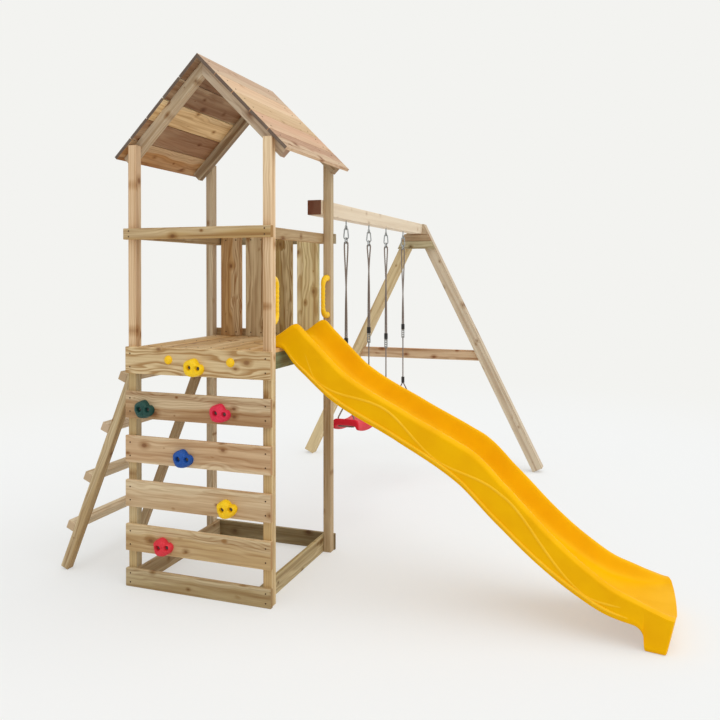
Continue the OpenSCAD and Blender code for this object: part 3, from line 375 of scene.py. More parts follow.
# Tint of each timber node's boards, in the order of their places along X, then Y, then Z
TINTS = {
    "post_front_left": ["#e0c29e"], "post_front_right": ["#f6dbb4"],
    "post_back_left": ["#c9b597"], "post_back_right": ["#c8b390"],
    "base_front": ["#b19a6e"], "base_back": ["#90805c"], "base_left": ["#ac9672"], "base_right": ["#ac9c6e"],
    "climb_board_1": ["#e2c99b"], "climb_board_2": ["#bc986e"], "climb_board_3": ["#d2b088"],
    "climb_board_4": ["#d4b891"], "climb_board_5": ["#c8aa7a"],
    "deck_board_back": ["#b0946c"], "joist_left": ["#a58a66"], "joist_right": ["#83906d"],
    "deck_bearers": ["#a58a66"], "deck_boards": ["#dab478", "#cfaa70", "#e1be82", "#d1ad73", "#dab174"],
    "guard_rail_front": ["#bd9a62"], "guard_rail_back": ["#b2a98c"], "guard_rail_left": ["#b19870"],
    "guard_rail_right": ["#b59a72"], "back_panel_boards": ["#c39b65", "#c1a272", "#b69d64", "#efe3b2"],
    "rafter_front_left": ["#d0bda0"], "rafter_front_right": ["#bfa896"],
    "rafter_back_left": ["#a08c72"], "rafter_back_right": ["#b09a7c"],
    "roof_boards_left": ["#bf8e58", "#a47d5c", "#f5d7a3", "#9d7b5d", "#9a7a5e"],
    "roof_boards_right": ["#c4a68b", "#debc99", "#d3b48c", "#d3aa8a", "#c09a7e"],
    "ladder_rail_front": ["#bb9f70"], "ladder_rail_back": ["#b79f7a"],
    "ladder_rungs": ["#e3d2b2", "#dfceaf", "#e8d8bd", "#dbc8a7"],
    "swing_beam": ["#e8d7bf"], "leg_left": ["#d8c08d"], "leg_right": ["#d2c2ab"],
    "leg_cross_bar": ["#c69a70"], "leg_cleats": ["#aaa078", "#a5845f"],
}


def boards_of(node):
    """The separate boards of a timber node, each as its corner points, in order of place."""
    def place(board):
        return [round(sum(point[k] for point in board) / len(board), 4) for k in range(3)]

    shape = bmesh.new()
    shape.from_mesh(frame["nodes"][node].data)
    bmesh.ops.remove_doubles(shape, verts=shape.verts, dist=0.01 * MM)
    shape.verts.index_update()
    boards = []
    left = {vert.index: vert for vert in shape.verts}
    while left:
        stack = [left.pop(min(left))]
        board = []
        while stack:
            vert = stack.pop()
            board.append(vert.co.copy())
            near = [edge.other_vert(vert).index for edge in vert.link_edges]
            stack += [left.pop(index) for index in near if index in left]
        boards.append(board)
    shape.free()
    return sorted(boards, key=place)


def planed_board(points, arris, facing):
    """A closed board through its corners with eased edges, and its ways along, across and through."""
    shape = bmesh.new()
    for point in points:
        shape.verts.new(point)
    hull = bmesh.ops.convex_hull(shape, input=shape.verts)
    spare = [part for part in hull["geom_interior"] + hull["geom_unused"]
             if isinstance(part, bmesh.types.BMVert)]
    bmesh.ops.delete(shape, geom=list(set(spare)), context="VERTS")
    bmesh.ops.dissolve_limit(shape, angle_limit=0.02, verts=shape.verts, edges=shape.edges)
    bmesh.ops.recalc_face_normals(shape, faces=shape.faces)
    longest = max(shape.edges, key=lambda edge: edge.calc_length())
    along = (longest.verts[1].co - longest.verts[0].co).normalized()
    along *= 1 if along.dot(LENGTH_WAY) > 0 else -1
    sides = [face for face in shape.faces if abs(face.normal.dot(along)) < 0.1]
    largest = max(face.calc_area() for face in sides)
    widest = [face.normal.copy() for face in sides if face.calc_area() > 0.99 * largest]
    through = max(widest, key=facing.dot)
    through *= 1 if through.dot(facing) > 0 else -1
    bmesh.ops.bevel(shape, geom=list(shape.edges), offset=arris, segments=2, profile=0.5, affect="EDGES",
                    clamp_overlap=True)
    shape.normal_update()
    return shape, along, through.cross(along), through


def cut_post(shape):
    """Cuts a post's mesh where its tints, with their painted shade and light, change."""
    for height in POST_CUTS:
        parts = [*shape.verts, *shape.edges, *shape.faces]
        bmesh.ops.bisect_plane(shape, geom=parts, plane_co=(0, 0, height), plane_no=(0, 0, 1))
    shape.normal_update()


def post_tint_with_painted_shade_and_light(node, vert, above):
    """The tint of a front post's vertex, by its height and the way that it faces: painted shade below the
    deck, painted light at the top.
    """
    low_front, low_side, deck_front, top_front = [linear(tint)[:3] for tint in POST_TINTS_WITH_PAINTED_SHADE_AND_LIGHT[node]]
    forward = vert.normal.y < -ON_FACE
    if vert.co.z < POST_CUTS[0] + MM:
        return low_front if forward else low_side
    if not forward:
        return above
    return deck_front if vert.co.z < POST_CUTS[1] + MM else top_front


def timber(node, tints):
    """A timber node's boards, planed, each with its own tone and its own cut of the trunk."""
    lots = random.Random(node)
    verts, faces, grain, tint = [], [], [], []
    for index, points in enumerate(boards_of(node)):
        arris = ROOF_ARRIS if "roof" in node else ARRIS
        facing = SIDE_FACING if node in SIDE_FACED else FACING
        shape, along, across, through = planed_board(points, arris, facing)
        middle = sum((v.co for v in shape.verts), Vector()) / len(shape.verts)
        figure = FIGURES.get(f"{node} {index}", FIGURES.get(node, FIGURE))
        by_lot = (lots.uniform(*PITH_ACROSS), lots.uniform(*PITH_BEHIND))
        pith = PITHS.get(node, PITHS.get(f"{node} {index}", by_lot))
        place = lots.uniform(0, TRUNK)
        start = Vector((STARTS.get(node, place), pith[0] * MM, pith[1] * MM))
        depths = [[v.co.dot(way) for v in shape.verts] for way in (across, through)]
        wide, thick = [max(depth) - min(depth) for depth in depths]
        is_board = wide > BOARD_SHAPE * thick
        face_tint = linear(tints[index % len(tints)])[:3]
        end_tint = [share * shade for share, shade in zip(face_tint, END_SHADE)]
        if node in END_TINTS:
            end_tint = linear(END_TINTS[node])[:3]
        edge_painted_light_tint = [min(0.9, share * EDGE_PAINTED_LIGHT) for share in face_tint] if is_board else face_tint
        # Front posts take painted shade low down and painted light higher up on their forward faces
        if node in POST_TINTS_WITH_PAINTED_SHADE_AND_LIGHT:
            cut_post(shape)
        first = len(verts)
        shape.verts.index_update()
        for vert in shape.verts:
            away = vert.co - middle
            tone, show = face_tint, figure
            if abs(vert.normal.dot(along)) > ON_FACE:
                tone, show = end_tint, END_FIGURE
            elif node in POST_TINTS_WITH_PAINTED_SHADE_AND_LIGHT:
                tone = post_tint_with_painted_shade_and_light(node, vert, face_tint)
            # Narrow edges of boards take the paler tint, painted light
            elif abs(vert.normal.dot(across)) > ON_FACE:
                tone = edge_painted_light_tint
            verts.append(vert.co.copy())
            grain.extend(start + Vector((away.dot(along), away.dot(across), away.dot(through))))
            tint.extend([*tone, show])
        faces += [[first + vert.index for vert in face.verts] for face in shape.faces]
        shape.free()
    mesh = bpy.data.meshes.new(node + "_planed")
    mesh.from_pydata(verts, [], faces)
    mesh.attributes.new("grain", "FLOAT_VECTOR", "POINT").data.foreach_set("vector", grain)
    mesh.attributes.new("tint", "FLOAT_COLOR", "POINT").data.foreach_set("color", tint)
    return new_piece(node + "_planed", mesh, PINE, smooth=False)


NODE_SLOTS = {part["node"]: part["material_slot"] for part in frame["record"]["subparts"]}
for timber_node, timber_tints in TINTS.items():
    fit(timber(timber_node, timber_tints), "frame", NODE_SLOTS[timber_node], timber_node)


# Slide

SLIDE_START = 310
SLIDE_RUN = 1825
SLIDE_EXIT = 130
SLIDE_TOP = 1230
DECK = 1190
SLIDE_EDGE, SLIDE_RIM, SLIDE_BED = 218, 190, 135    # half widths of the lower edge, the rims and the bed
SLIDE_SKIN = 15
RIM_W = 2.2 * SLIDE_SKIN
SLIDE_UNDER = 40
SLIDE_WALL = 105
SLIDE_FLARE, FLARE_FROM = 45, 0.6
DECK_EDGE = 0.025               # share of the run up to which the lower edge lies on the deck
FOOT_FROM, FOOT_TO = 0.91, 0.934
FOOT_FILLET = (FOOT_TO - FOOT_FROM) * SLIDE_RUN
RECESS_END = 0.95
NOSE_BACK, NOSE_ROUND, NOSE_OUT = 30, 25, 18
SLIDE_STEPS = 76
# Share of the run and share of the drop that is left: the two waves of the bed
BED_KEYS = [(0, 1), (0.035, 0.99), (0.088, 0.905), (0.19, 0.765), (0.355, 0.623), (0.51, 0.473),
            (0.61, 0.32), (0.705, 0.182), (0.795, 0.079), (0.875, 0.018), (1, 0)]
# Share of the run and share of the side walls' full height
WALL_KEYS = [(0, 0.12), (0.03, 0.45), (0.07, 0.96), (0.12, 1), (0.36, 0.9), (0.6, 1.05), (0.78, 0.85),
             (0.9, 0.6), (0.96, 0.3), (1, 0.1)]


def key_value(keys, u):
    """A smooth curve through key points, level at both ends."""
    def slope(i):
        inside = 0 < i < len(keys) - 1
        return (keys[i + 1][1] - keys[i - 1][1]) / (keys[i + 1][0] - keys[i - 1][0]) if inside else 0

    i = max(k for k in range(len(keys) - 1) if k == 0 or u > keys[k][0])
    span = keys[i + 1][0] - keys[i][0]
    t = (u - keys[i][0]) / span
    return (keys[i][1] * (2 * t ** 3 - 3 * t ** 2 + 1) + keys[i + 1][1] * (3 * t ** 2 - 2 * t ** 3)
            + span * (slope(i) * (t ** 3 - 2 * t ** 2 + t) + slope(i + 1) * (t ** 3 - t ** 2)))


def slide_lines(u):
    """Heights of bed, lower edge, side wall and recess, and the flare, at a share of the run."""
    def bed(share):
        return SLIDE_EXIT + (SLIDE_TOP - SLIDE_EXIT) * key_value(BED_KEYS, share)

    near = 0.004
    low_u, high_u = max(0, u - near), min(1, u + near)
    steep = (bed(high_u) - bed(low_u)) / (SLIDE_RUN * (high_u - low_u))
    stretch = math.sqrt(1 + steep ** 2)
    off_deck = min(1, max(0, u / DECK_EDGE - 1))
    low = DECK + off_deck * (min(DECK, bed(u) - SLIDE_UNDER * stretch) - DECK)
    turn = (u - FOOT_FROM) / (FOOT_TO - FOOT_FROM)
    if turn > 0:
        low = low - FOOT_FILLET * (1 - math.sqrt(1 - turn ** 2)) if turn <= 1 else 0
    rise = SLIDE_WALL * key_value(WALL_KEYS, u) * stretch
    recess = max(low, bed(u) - SLIDE_SKIN * stretch) if u < RECESS_END else low
    return bed(u), low, rise, recess, SLIDE_FLARE * max(0, (u - FLARE_FROM) / (1 - FLARE_FROM)) ** 2


def slide_half(u):
    """Half of the slide's section at a share of its run, from below its middle round to its bed."""
    bed, low, rise, recess, flare = slide_lines(u)
    edge, rim_out, bed_out = SLIDE_EDGE + flare, SLIDE_RIM + flare, SLIDE_BED + flare
    skin, rim_w = SLIDE_SKIN, RIM_W
    rim = bed + rise
    lip = min(0.3 * (rim - low), 1.6 * skin)
    return [
        (0, recess), (edge - rim_w, recess), (edge - skin, low), (edge, low), (edge, low + 0.92 * lip),
        (edge - 0.5 * skin, low + 1.12 * lip), (rim_out + 0.42 * rim_w, rim - 0.3 * rise),
        (rim_out + 0.4 * rim_w, rim - 0.17 * rise), (rim_out + 0.26 * rim_w, rim - 0.1 * rise),
        (rim_out - 0.14 * rim_w, rim - 0.02 * rise), (rim_out - 0.5 * rim_w, rim),
        (rim_out - 0.8 * rim_w, rim - 0.03 * rise), (rim_out - rim_w, rim - 0.14 * rise),
        (bed_out + 0.35 * skin, bed + 0.32 * rise), (bed_out - 0.5 * skin, bed + 0.1 * rise),
        (bed_out - rim_w, bed), (0, bed),
    ]


def slide_point(u, y, z):
    """A point of the slide, whose nose bows out in the middle and leans back at its foot and corners."""
    bed, *_, flare = slide_lines(u)
    lean = max(0, (u - FOOT_TO) / (1 - FOOT_TO))
    under = NOSE_BACK * max(0, 1 - z / bed)
    corner = NOSE_ROUND * (abs(y) / (SLIDE_EDGE + flare)) ** 3
    return at(SLIDE_START + SLIDE_RUN * u + lean * (NOSE_OUT - under - corner), y, z)


def slide_body():
    """The slide: one moulded channel through its sections, closed by a nose that is curved both ways."""
    stations = [FOOT_FROM * k / SLIDE_STEPS for k in range(SLIDE_STEPS + 1)]
    stations += [FOOT_FROM + share * (FOOT_TO - FOOT_FROM) for share in (0.3, 0.55, 0.75, 0.9, 0.97, 0.999)]
    stations += [FOOT_TO + 0.001, 0.942, RECESS_END - 0.001, RECESS_END, 0.962, 0.974, 0.984, 0.993, 1]
    rings = []
    for u in stations:
        half = slide_half(u)
        section = [(-y, z) for y, z in half] + [(y, z) for y, z in reversed(half[1:-1])]
        rings.append([slide_point(u, y, z) for y, z in section])
    middle = SLIDE_EXIT / 2
    for inset in (0.05, 0.3, 0.6, 0.85):
        keep = 1 - inset
        rings.append([slide_point(1, keep * y, middle + keep * (z - middle)) for y, z in section])
    mesh = bpy.data.meshes.new("slide_cage")
    mesh.from_pydata([p for ring in rings for p in ring], [], tube_faces(len(section), len(rings)))
    source = new_piece("slide_cage", outward(mesh), SLIDE_PLASTIC)
    smooth = source.modifiers.new("moulded", "SUBSURF")
    smooth.levels = smooth.render_levels = 2
    return new_piece("slide_moulded", plain_mesh(source), SLIDE_PLASTIC)


fit(slide_body(), "frame", "slide_plastic", "slide")


# Swept pieces: ropes, hooks, grips and raised lines share one tree

def sweep_tree():
    """Sweeps a lobed round section along the source's edges, twisted by its lay and swelled by point."""
    tree, given, result = node_group("swept_section", {
        "Radius": "Float", "Lobes": "Float", "Lobe Depth": "Float", "Lay Length": "Float", "Step": "Float",
        "Sides": "Int", "Material": "Material"})
    line = add_node(tree, "GeometryNodeMeshToCurve", {0: given.outputs["Geometry"]})
    line = add_node(tree, "GeometryNodeResampleCurve", {"Curve": line, "Length": given.outputs["Step"]},
                    mode="LENGTH")
    run = add_node(tree, "GeometryNodeSplineParameter").outputs["Length"]
    turns = add_node(tree, "ShaderNodeMath", {0: run, 1: given.outputs["Lay Length"]}, operation="DIVIDE")
    tilt = add_node(tree, "ShaderNodeMath", {0: turns, 1: math.tau}, operation="MULTIPLY")
    line = add_node(tree, "GeometryNodeSetCurveTilt", {"Curve": line, "Tilt": tilt})
    ring = add_node(tree, "GeometryNodeCurvePrimitiveCircle",
                    {"Resolution": given.outputs["Sides"], "Radius": given.outputs["Radius"]})
    place = add_node(tree, "GeometryNodeInputPosition")
    part = add_node(tree, "ShaderNodeSeparateXYZ", {0: place})
    angle = add_node(tree, "ShaderNodeMath", {0: part.outputs[1], 1: part.outputs[0]}, operation="ARCTAN2")
    angle = add_node(tree, "ShaderNodeMath", {0: angle, 1: given.outputs["Lobes"]}, operation="MULTIPLY")
    wave = add_node(tree, "ShaderNodeMath", {0: angle}, operation="COSINE")
    dip = add_node(tree, "ShaderNodeMapRange",
                   {0: wave, 1: -1.0, 2: 1.0, 3: given.outputs["Lobe Depth"], 4: 0.0})
    keep = add_node(tree, "ShaderNodeMath", {0: 1.0, 1: dip}, operation="SUBTRACT")
    lobed = add_node(tree, "ShaderNodeVectorMath", {0: place, "Scale": keep}, operation="SCALE")
    ring = add_node(tree, "GeometryNodeSetPosition", {"Geometry": ring, "Position": lobed})
    swell = add_node(tree, "GeometryNodeInputNamedAttribute", {"Name": "swell"})
    body = add_node(tree, "GeometryNodeCurveToMesh",
                    {"Curve": line, "Profile Curve": ring, "Scale": swell, "Fill Caps": True})
    body = add_node(tree, "GeometryNodeRealizeInstances", {"Geometry": body})
    body = add_node(tree, "GeometryNodeSetMaterial",
                    {"Geometry": body, "Material": given.outputs["Material"]})
    tree.links.new(body.outputs[0], result.inputs[0])
    return tree


SWEEP = sweep_tree()


def sweep(name, paths, radius, material, closed=False, swell=None, lobes=0, lobe_depth=0.0, lay=1.0,
          step=3 * MM, sides=14):
    """A tube of that radius along each path; swell gives each point's share of the radius."""
    verts = [p for path in paths for p in path]
    edges = []
    first = 0
    for path in paths:
        edges += [(first + k, first + k + 1) for k in range(len(path) - 1)]
        edges += [(first + len(path) - 1, first)] if closed else []
        first += len(path)
    mesh = bpy.data.meshes.new(name + "_line")
    mesh.from_pydata(verts, edges, [])
    shares = swell or [1.0] * len(verts)
    mesh.attributes.new("swell", "FLOAT", "POINT").data.foreach_set("value", shares)
    made = run_tree(new_piece(name + "_line", mesh), SWEEP, {
        "Radius": radius, "Lobes": float(lobes), "Lobe Depth": lobe_depth, "Lay Length": lay, "Step": step,
        "Sides": sides, "Material": material})
    return new_piece(name, outward(made), material)


# The raised wave and the lip's bead on the slide's flanks

FLANK_LINE_R, FLANK_LINE_SINK = 7, 4
FLANK_LINE_STEPS = 150
LIP_RUN = (0.05, 0.9)           # shares of the run between which the lip has its bead
# Share of the run and share of the flank's height between the lip and the shoulder
FLANK_WAVE = [(0.075, 0.86), (0.125, 0.04), (0.31, 0.93), (0.45, 0.05), (0.635, 0.96), (0.8, 0.03),
              (0.907, 0.5)]
LINE_END, LINE_TAPER = 0.35, 14     # share of the radius at a line's ends, and the steps that thin it


def flank_wave(side):
    """Points of the raised wave along one flank, a little under the flank's surface."""
    first, last = FLANK_WAVE[0][0], FLANK_WAVE[-1][0]
    points = []
    for k in range(FLANK_LINE_STEPS + 1):
        u = first + (last - first) * k / FLANK_LINE_STEPS
        lip, shoulder = slide_half(u)[5:7]
        h = key_value(FLANK_WAVE, u)
        y = lip[0] + h * (shoulder[0] - lip[0]) - FLANK_LINE_SINK
        points.append(slide_point(u, side * y, lip[1] + h * (shoulder[1] - lip[1])))
    return points


def lip_line(side):
    """Points of the bead along the upper edge of one flank's lip."""
    first, last = LIP_RUN
    points = []
    for k in range(FLANK_LINE_STEPS + 1):
        u = first + (last - first) * k / FLANK_LINE_STEPS
        y, z = slide_half(u)[4]
        points.append(slide_point(u, side * (y - FLANK_LINE_SINK), z))
    return points


flank_paths = [line(side) for line in (flank_wave, lip_line) for side in (-1, 1)]
from_ends = [min(k, FLANK_LINE_STEPS - k) for k in range(FLANK_LINE_STEPS + 1)]
line_swell = [min(1, LINE_END + steps / LINE_TAPER) for steps in from_ends]
# The raised lines take the paler plastic, a painted highlight
flank_lines = sweep("slide_raised_lines", flank_paths, FLANK_LINE_R * MM, RIDGE_PAINTED_HIGHLIGHT_PLASTIC,
                    swell=line_swell * len(flank_paths), step=8 * MM, sides=12)
fit(flank_lines, "frame", "slide_plastic")


# Hand grips

GRIP_Z = DECK + 235
GRIP_L, GRIP_D, GRIP_OUT = 240, 25, 56
GRIP_FOOT_D, GRIP_FOOT_T = 36, 9
GRIP_BEND = 0.7                 # length of a bend as a share of how far the grip stands out
FINGER = 22                     # one finger's width along the grip
FINGER_DEPTH = 1.8


def hand_grip(node, facing):
    """A bowed grip on two round feet, with finger waves on the side towards its post."""
    low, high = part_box(node)
    face = low.y if facing > 0 else high.y
    foot_z = (GRIP_L - GRIP_FOOT_D) / 2
    bend_z = foot_z - GRIP_BEND * GRIP_OUT
    half = [(0, foot_z, GRIP_FOOT_D / 2), (0.6 * GRIP_FOOT_T, foot_z, GRIP_FOOT_D / 2)]
    for a in (math.radians(7.5 * k) for k in range(13)):
        half.append((GRIP_FOOT_T + (GRIP_OUT - GRIP_FOOT_T) * math.sin(a),
                     bend_z + (foot_z - bend_z) * math.cos(a),
                     (GRIP_D + (GRIP_FOOT_D - GRIP_D) * math.cos(a) ** 2) / 2))
    steps = round(2 * bend_z / FINGER * 8)
    held = []
    for k in range(1, steps):
        z = bend_z - 2 * bend_z * k / steps
        dip = FINGER_DEPTH * (0.5 - 0.5 * math.cos(math.tau * (bend_z - z) / FINGER))
        held.append((GRIP_OUT + dip, z, GRIP_D / 2 - dip))
    line = half + held + [(out, -z, r) for out, z, r in reversed(half)]
    middle = Vector(((low.x + high.x) / 2, face, GRIP_Z * MM))
    path = [middle + Vector((0, facing * out, z)) * MM for out, z, _ in line]
    grip = sweep(node + "_moulded", [path], GRIP_D / 2 * MM, GRIP_PLASTIC,
                 swell=[r / (GRIP_D / 2) for *_, r in line], step=2.5 * MM, sides=28)
    return fit(grip, "frame", "grip_plastic", node)


hand_grip("hand_grip_front", 1)
hand_grip("hand_grip_back", -1)


# Climbing holds

HOLD_RISE, HOLD_FLOOR = 40, 16
BOLT_GAP, HEAD_R, SINK_R = 46, 8, 15
DOME_POWER = 0.45               # the lower it is, the steeper are a stone's sides
CROWN = math.sin(math.radians(82))
HOLD_TIP = 0.02                 # the innermost ring, as a share of the outline
LUMP_W, PIT_W, PIT_SHARE, LUMP_DEPTH, LUMP_LIFT = 17, 7, 0.4, 5, 0.45
LUMP_FADE = 5                   # how soon the lumps run out towards the foot
VALLEY_W, VALLEY_DEPTH, VALLEY_Z, VALLEY_REACH, VALLEY_LEAN, VALLEY_END = 8, 6, 12, 55, 0.2, 0.97
# Colour, shade, and turn of each hold in degrees
HOLDS = {
    "hold_yellow_top": ("#fccf12", "#f2bf06", -4), "hold_green": ("#1f4a42", "#18403a", 0),
    "hold_pink": ("#ea3655", "#da2a47", -4), "hold_blue": ("#1f59ae", "#1a4d9a", 0),
    "hold_yellow_low": ("#fccf12", "#f2bf06", 7), "hold_red": ("#e83a48", "#d82f3b", 5),
}
# Outline of the stone from the middle of its bolts, across and up: a broad left and a thick right lobe
HOLD_LINE = [(55, -7), (52, 8), (38, 19), (22, 20), (10, 34), (-10, 45), (-35, 34), (-49, 21), (-51, 5),
             (-48, -15), (-35, -35), (-10, -39), (19, -32), (42, -22)]


def hold_outline(sectors):
    """The stone's outline, smooth through its points."""
    count = len(HOLD_LINE)
    outline = []
    for k in range(sectors):
        i, t = divmod(k * count / sectors, 1)
        a, b, c, d = [Vector(HOLD_LINE[(int(i) + step) % count]) for step in (-1, 0, 1, 2)]
        outline.append(b + 0.5 * t * (c - a + t * (2 * a - 5 * b + 4 * c - d + t * (3 * (b - c) + d - a))))
    return outline


def climbing_hold(node, material, tilt):
    """A moulded stone with steep sides, a lumpy crown and a countersink round each of its two bolts."""
    sectors, rows = 112, 48
    low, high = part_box(node)
    bolts = [sum(points, Vector()) / len(points) for points in boards_of("hold_bolts")]
    bolts = [spot for spot in bolts if low.x < spot.x < high.x and low.z < spot.z < high.z]
    middle = sum(bolts, Vector()) / len(bolts)
    turn = math.radians(tilt)
    line = [(x * math.cos(turn) - z * math.sin(turn), x * math.sin(turn) + z * math.cos(turn))
            for x, z in hold_outline(sectors)]
    spans = [(min(p[k] for p in line), max(p[k] for p in line)) for k in (0, 1)]
    box = [((low[k] - middle[k]) / MM, (high[k] - middle[k]) / MM) for k in (0, 2)]
    line = [[p[k] * box[k][p[k] > 0] / spans[k][p[k] > 0] for k in (0, 1)] for p in line]
    lots = random.Random(node)
    lump = Vector([lots.uniform(0, 9) for _ in range(3)])
    sinks = [(side * BOLT_GAP / 2 * math.cos(turn), side * BOLT_GAP / 2 * math.sin(turn)) for side in (-1, 1)]

    def height(x, z, share):
        out = HOLD_RISE * min(1, math.sqrt(max(0, 1 - share ** (2 / DOME_POWER))) / CROWN)
        worn = noise.noise(Vector((x, z, 0)) / LUMP_W + lump)
        worn += PIT_SHARE * noise.noise(Vector((x, z, 9)) / PIT_W + lump)
        out -= min(out, LUMP_DEPTH * max(0, LUMP_LIFT + worn)) * min(1, LUMP_FADE * (1 - share))
        valley = VALLEY_DEPTH * math.exp(-((x - VALLEY_LEAN * z) / VALLEY_W) ** 2)
        valley *= max(0, 1 - abs(z - VALLEY_Z) / VALLEY_REACH)
        out -= min(out, valley) if share < VALLEY_END else 0
        for bolt_x, bolt_z in sinks:
            away = math.hypot(x - bolt_x, z - bolt_z)
            out = min(out, HOLD_FLOOR + (HOLD_RISE - HOLD_FLOOR) * max(0, away - HEAD_R) / (SINK_R - HEAD_R))
        return out

    shares = [HOLD_TIP + (1 - HOLD_TIP) * math.sin(math.pi / 2 * k / rows) ** 0.9 for k in range(rows + 1)]
    rings = [[(share * x, height(share * x, share * z, share), share * z) for x, z in line]
             for share in shares]
    foot = Vector((middle.x, high.y, middle.z))
    verts = [foot + Vector((x, -out, z)) * MM for ring in rings for x, out, z in ring]
    mesh = bpy.data.meshes.new(node + "_stone")
    mesh.from_pydata(verts, [], tube_faces(sectors, rows + 1))
    return fit(new_piece(node + "_stone", outward(mesh), material), "frame", NODE_SLOTS[node], node)


for hold, (hold_colour, hold_shade, hold_tilt) in HOLDS.items():
    resin = moulded_plastic("resin_" + hold, hold_colour, hold_shade, 0.5, pebble=3 * MM, depth=0.5 * MM,
                            level=0.3)
    climbing_hold(hold, resin, hold_tilt)
# The holds' bolts take the darkened steel, painted shade for their holes
dress("hold_bolts", BOLT_PAINTED_SHADE_STEEL)
dress("bolt_caps", GRIP_PLASTIC)


# Swings

BEAM_X = 309
ROPE_R = 5 * MM
ROPE_LAY = 44 * MM              # one turn of the three strands
ROPE_APART = 430
STRAND_R = 11
STRAND_X = 5.3                  # a strand's distance from the rope's line inside a ferrule
LOOP_Z = 1736.9
FERRULE_H, ADJUSTER_L = 40, 65
SPLIT_UP, SPLIT_H = 100, 44
SEAT_L, SEAT_D, SEAT_T, SEAT_DROP, SEAT_DIP = 470, 172, 40, 66, 30
SEAT_EDGE_R, SEAT_LIP_R, SEAT_END_R = 28, 9, 12
SEAT_HOLE_X = 52
SLING_UNDER, SLING_BEND = 5.9, 8    # the sling's line below the seat, and the radius of its turns
LOOP_STEPS = 40
# Each swing's middle, its seat's height at the ropes, and the upper ends of its front and back ferrules
SWINGS = {1: (1030, 655, (1155, 1195)), 2: (1837, 615, (1125, 1165))}
# How far down each loop, front and back, its two strands cross, since they hang with half a turn
CROSSINGS = {1: (0.34, 0.2), 2: (0.3, 0.5)}
QUARTER = [math.pi / 2 * k / 4 for k in range(5)]   # angles of a quarter turn


def rope_loop(ferrule, cross):
    """The doubled rope from a ferrule over the ring and back, with half a turn between them."""
    turns = [math.pi * k / 16 for k in range(17)]
    over = [(-STRAND_R * math.cos(a), 0, LOOP_Z + STRAND_R * math.sin(a)) for a in turns]
    strand = []
    for k in range(1, LOOP_STEPS + 1):
        t = k / LOOP_STEPS
        apart = STRAND_X + (STRAND_R - STRAND_X) * (1 - t) ** 1.5
        turn = math.pi * t ** (math.log(0.5) / math.log(cross))
        strand.append((apart * math.cos(turn), apart * math.sin(turn), LOOP_Z + (ferrule - LOOP_Z) * t))
    return [(-x, -y, z) for x, y, z in reversed(strand)] + over + strand


def rope_paths(seat, ferrule, cross):
    """The rope's three stretches, as across, along and up: loop over the ring, single fall, and sling."""
    fall = [(0, 0, ferrule - FERRULE_H - ADJUSTER_L), (0, 0, seat + SPLIT_UP + SPLIT_H)]
    low = seat - SEAT_T - SLING_UNDER
    half = [(STRAND_X, seat + SPLIT_UP), (STRAND_X, seat + SPLIT_UP - 5), (SEAT_HOLE_X - 1, seat + 10),
            (SEAT_HOLE_X, seat)]
    half += [(SEAT_HOLE_X - SLING_BEND * (1 - math.cos(a)), low + SLING_BEND * (1 - math.sin(a)))
             for a in QUARTER]
    sling = [(-x, 0, z) for x, z in half] + [(x, 0, z) for x, z in reversed(half)]
    return {"loop": rope_loop(ferrule, cross), "fall": fall, "sling": sling}


def swing_ropes(number, y_middle, seat, ferrules):
    """Ropes of one swing, twisted from three strands."""
    body = f"swing_{number}"
    for side, label, ferrule, cross in zip((-1, 1), ("front", "back"), ferrules, CROSSINGS[number]):
        for kind, line in rope_paths(seat, ferrule, cross).items():
            path = [at(BEAM_X + x, y_middle + side * ROPE_APART / 2 + y, z) for x, y, z in line]
            rope = sweep(f"{body}_rope_{kind}_{label}", [path], ROPE_R, ROPE, lobes=3, lobe_depth=0.2,
                         lay=ROPE_LAY, step=2.5 * MM, sides=15)
            fit(rope, body, "rope", body + "_ropes")


def swing_seat(number, y_middle, seat):
    """A moulded seat that dips along its length, with round ends and edges and turned-down long sides."""
    half = [(0, 0)]
    half += [(SEAT_D / 2 - SEAT_EDGE_R * (1 - math.sin(a)), SEAT_EDGE_R * (1 - math.cos(a))) for a in QUARTER]
    half += [(SEAT_D / 2 - SEAT_LIP_R * (1 - math.cos(a)), SEAT_DROP - SEAT_LIP_R * (1 - math.sin(a)))
             for a in (math.pi * k / 6 for k in range(7))]
    half += [(SEAT_D / 2 - 2.6 * SEAT_LIP_R, SEAT_T), (0, SEAT_T)]
    outline = half + [(-x, down) for x, down in half[-2:0:-1]]
    flat = SEAT_L / 2 - SEAT_END_R
    ends = [(flat + SEAT_END_R * math.sin(a), SEAT_END_R * (1 - math.cos(a))) for a in QUARTER[1:]]
    stations = [(-y, inset) for y, inset in reversed(ends)]
    stations += [(flat * (k / 12 - 1), 0) for k in range(25)]
    stations += ends
    verts = []
    for y, inset in stations:
        top = seat - SEAT_DIP * (1 - (2 * y / ROPE_APART) ** 2)
        wide, deep = 1 - 2 * inset / SEAT_D, 1 - 2 * inset / SEAT_T
        for x, down in outline:
            down = min(down, SEAT_T) + (1 - inset / SEAT_END_R) * max(0, down - SEAT_T)
            verts.append(at(BEAM_X + wide * x, y_middle + y, top - SEAT_T / 2 - deep * (down - SEAT_T / 2)))
    mesh = bpy.data.meshes.new(f"swing_{number}_seat_cage")
    mesh.from_pydata(verts, [], tube_faces(len(outline), len(stations)))
    source = new_piece(mesh.name, outward(mesh), SEAT_PLASTIC)
    smooth = source.modifiers.new("moulded", "SUBSURF")
    smooth.levels = smooth.render_levels = 1
    piece = new_piece(f"swing_{number}_seat_moulded", plain_mesh(source), SEAT_PLASTIC)
    return fit(piece, f"swing_{number}", "seat_plastic", f"swing_{number}_seat")


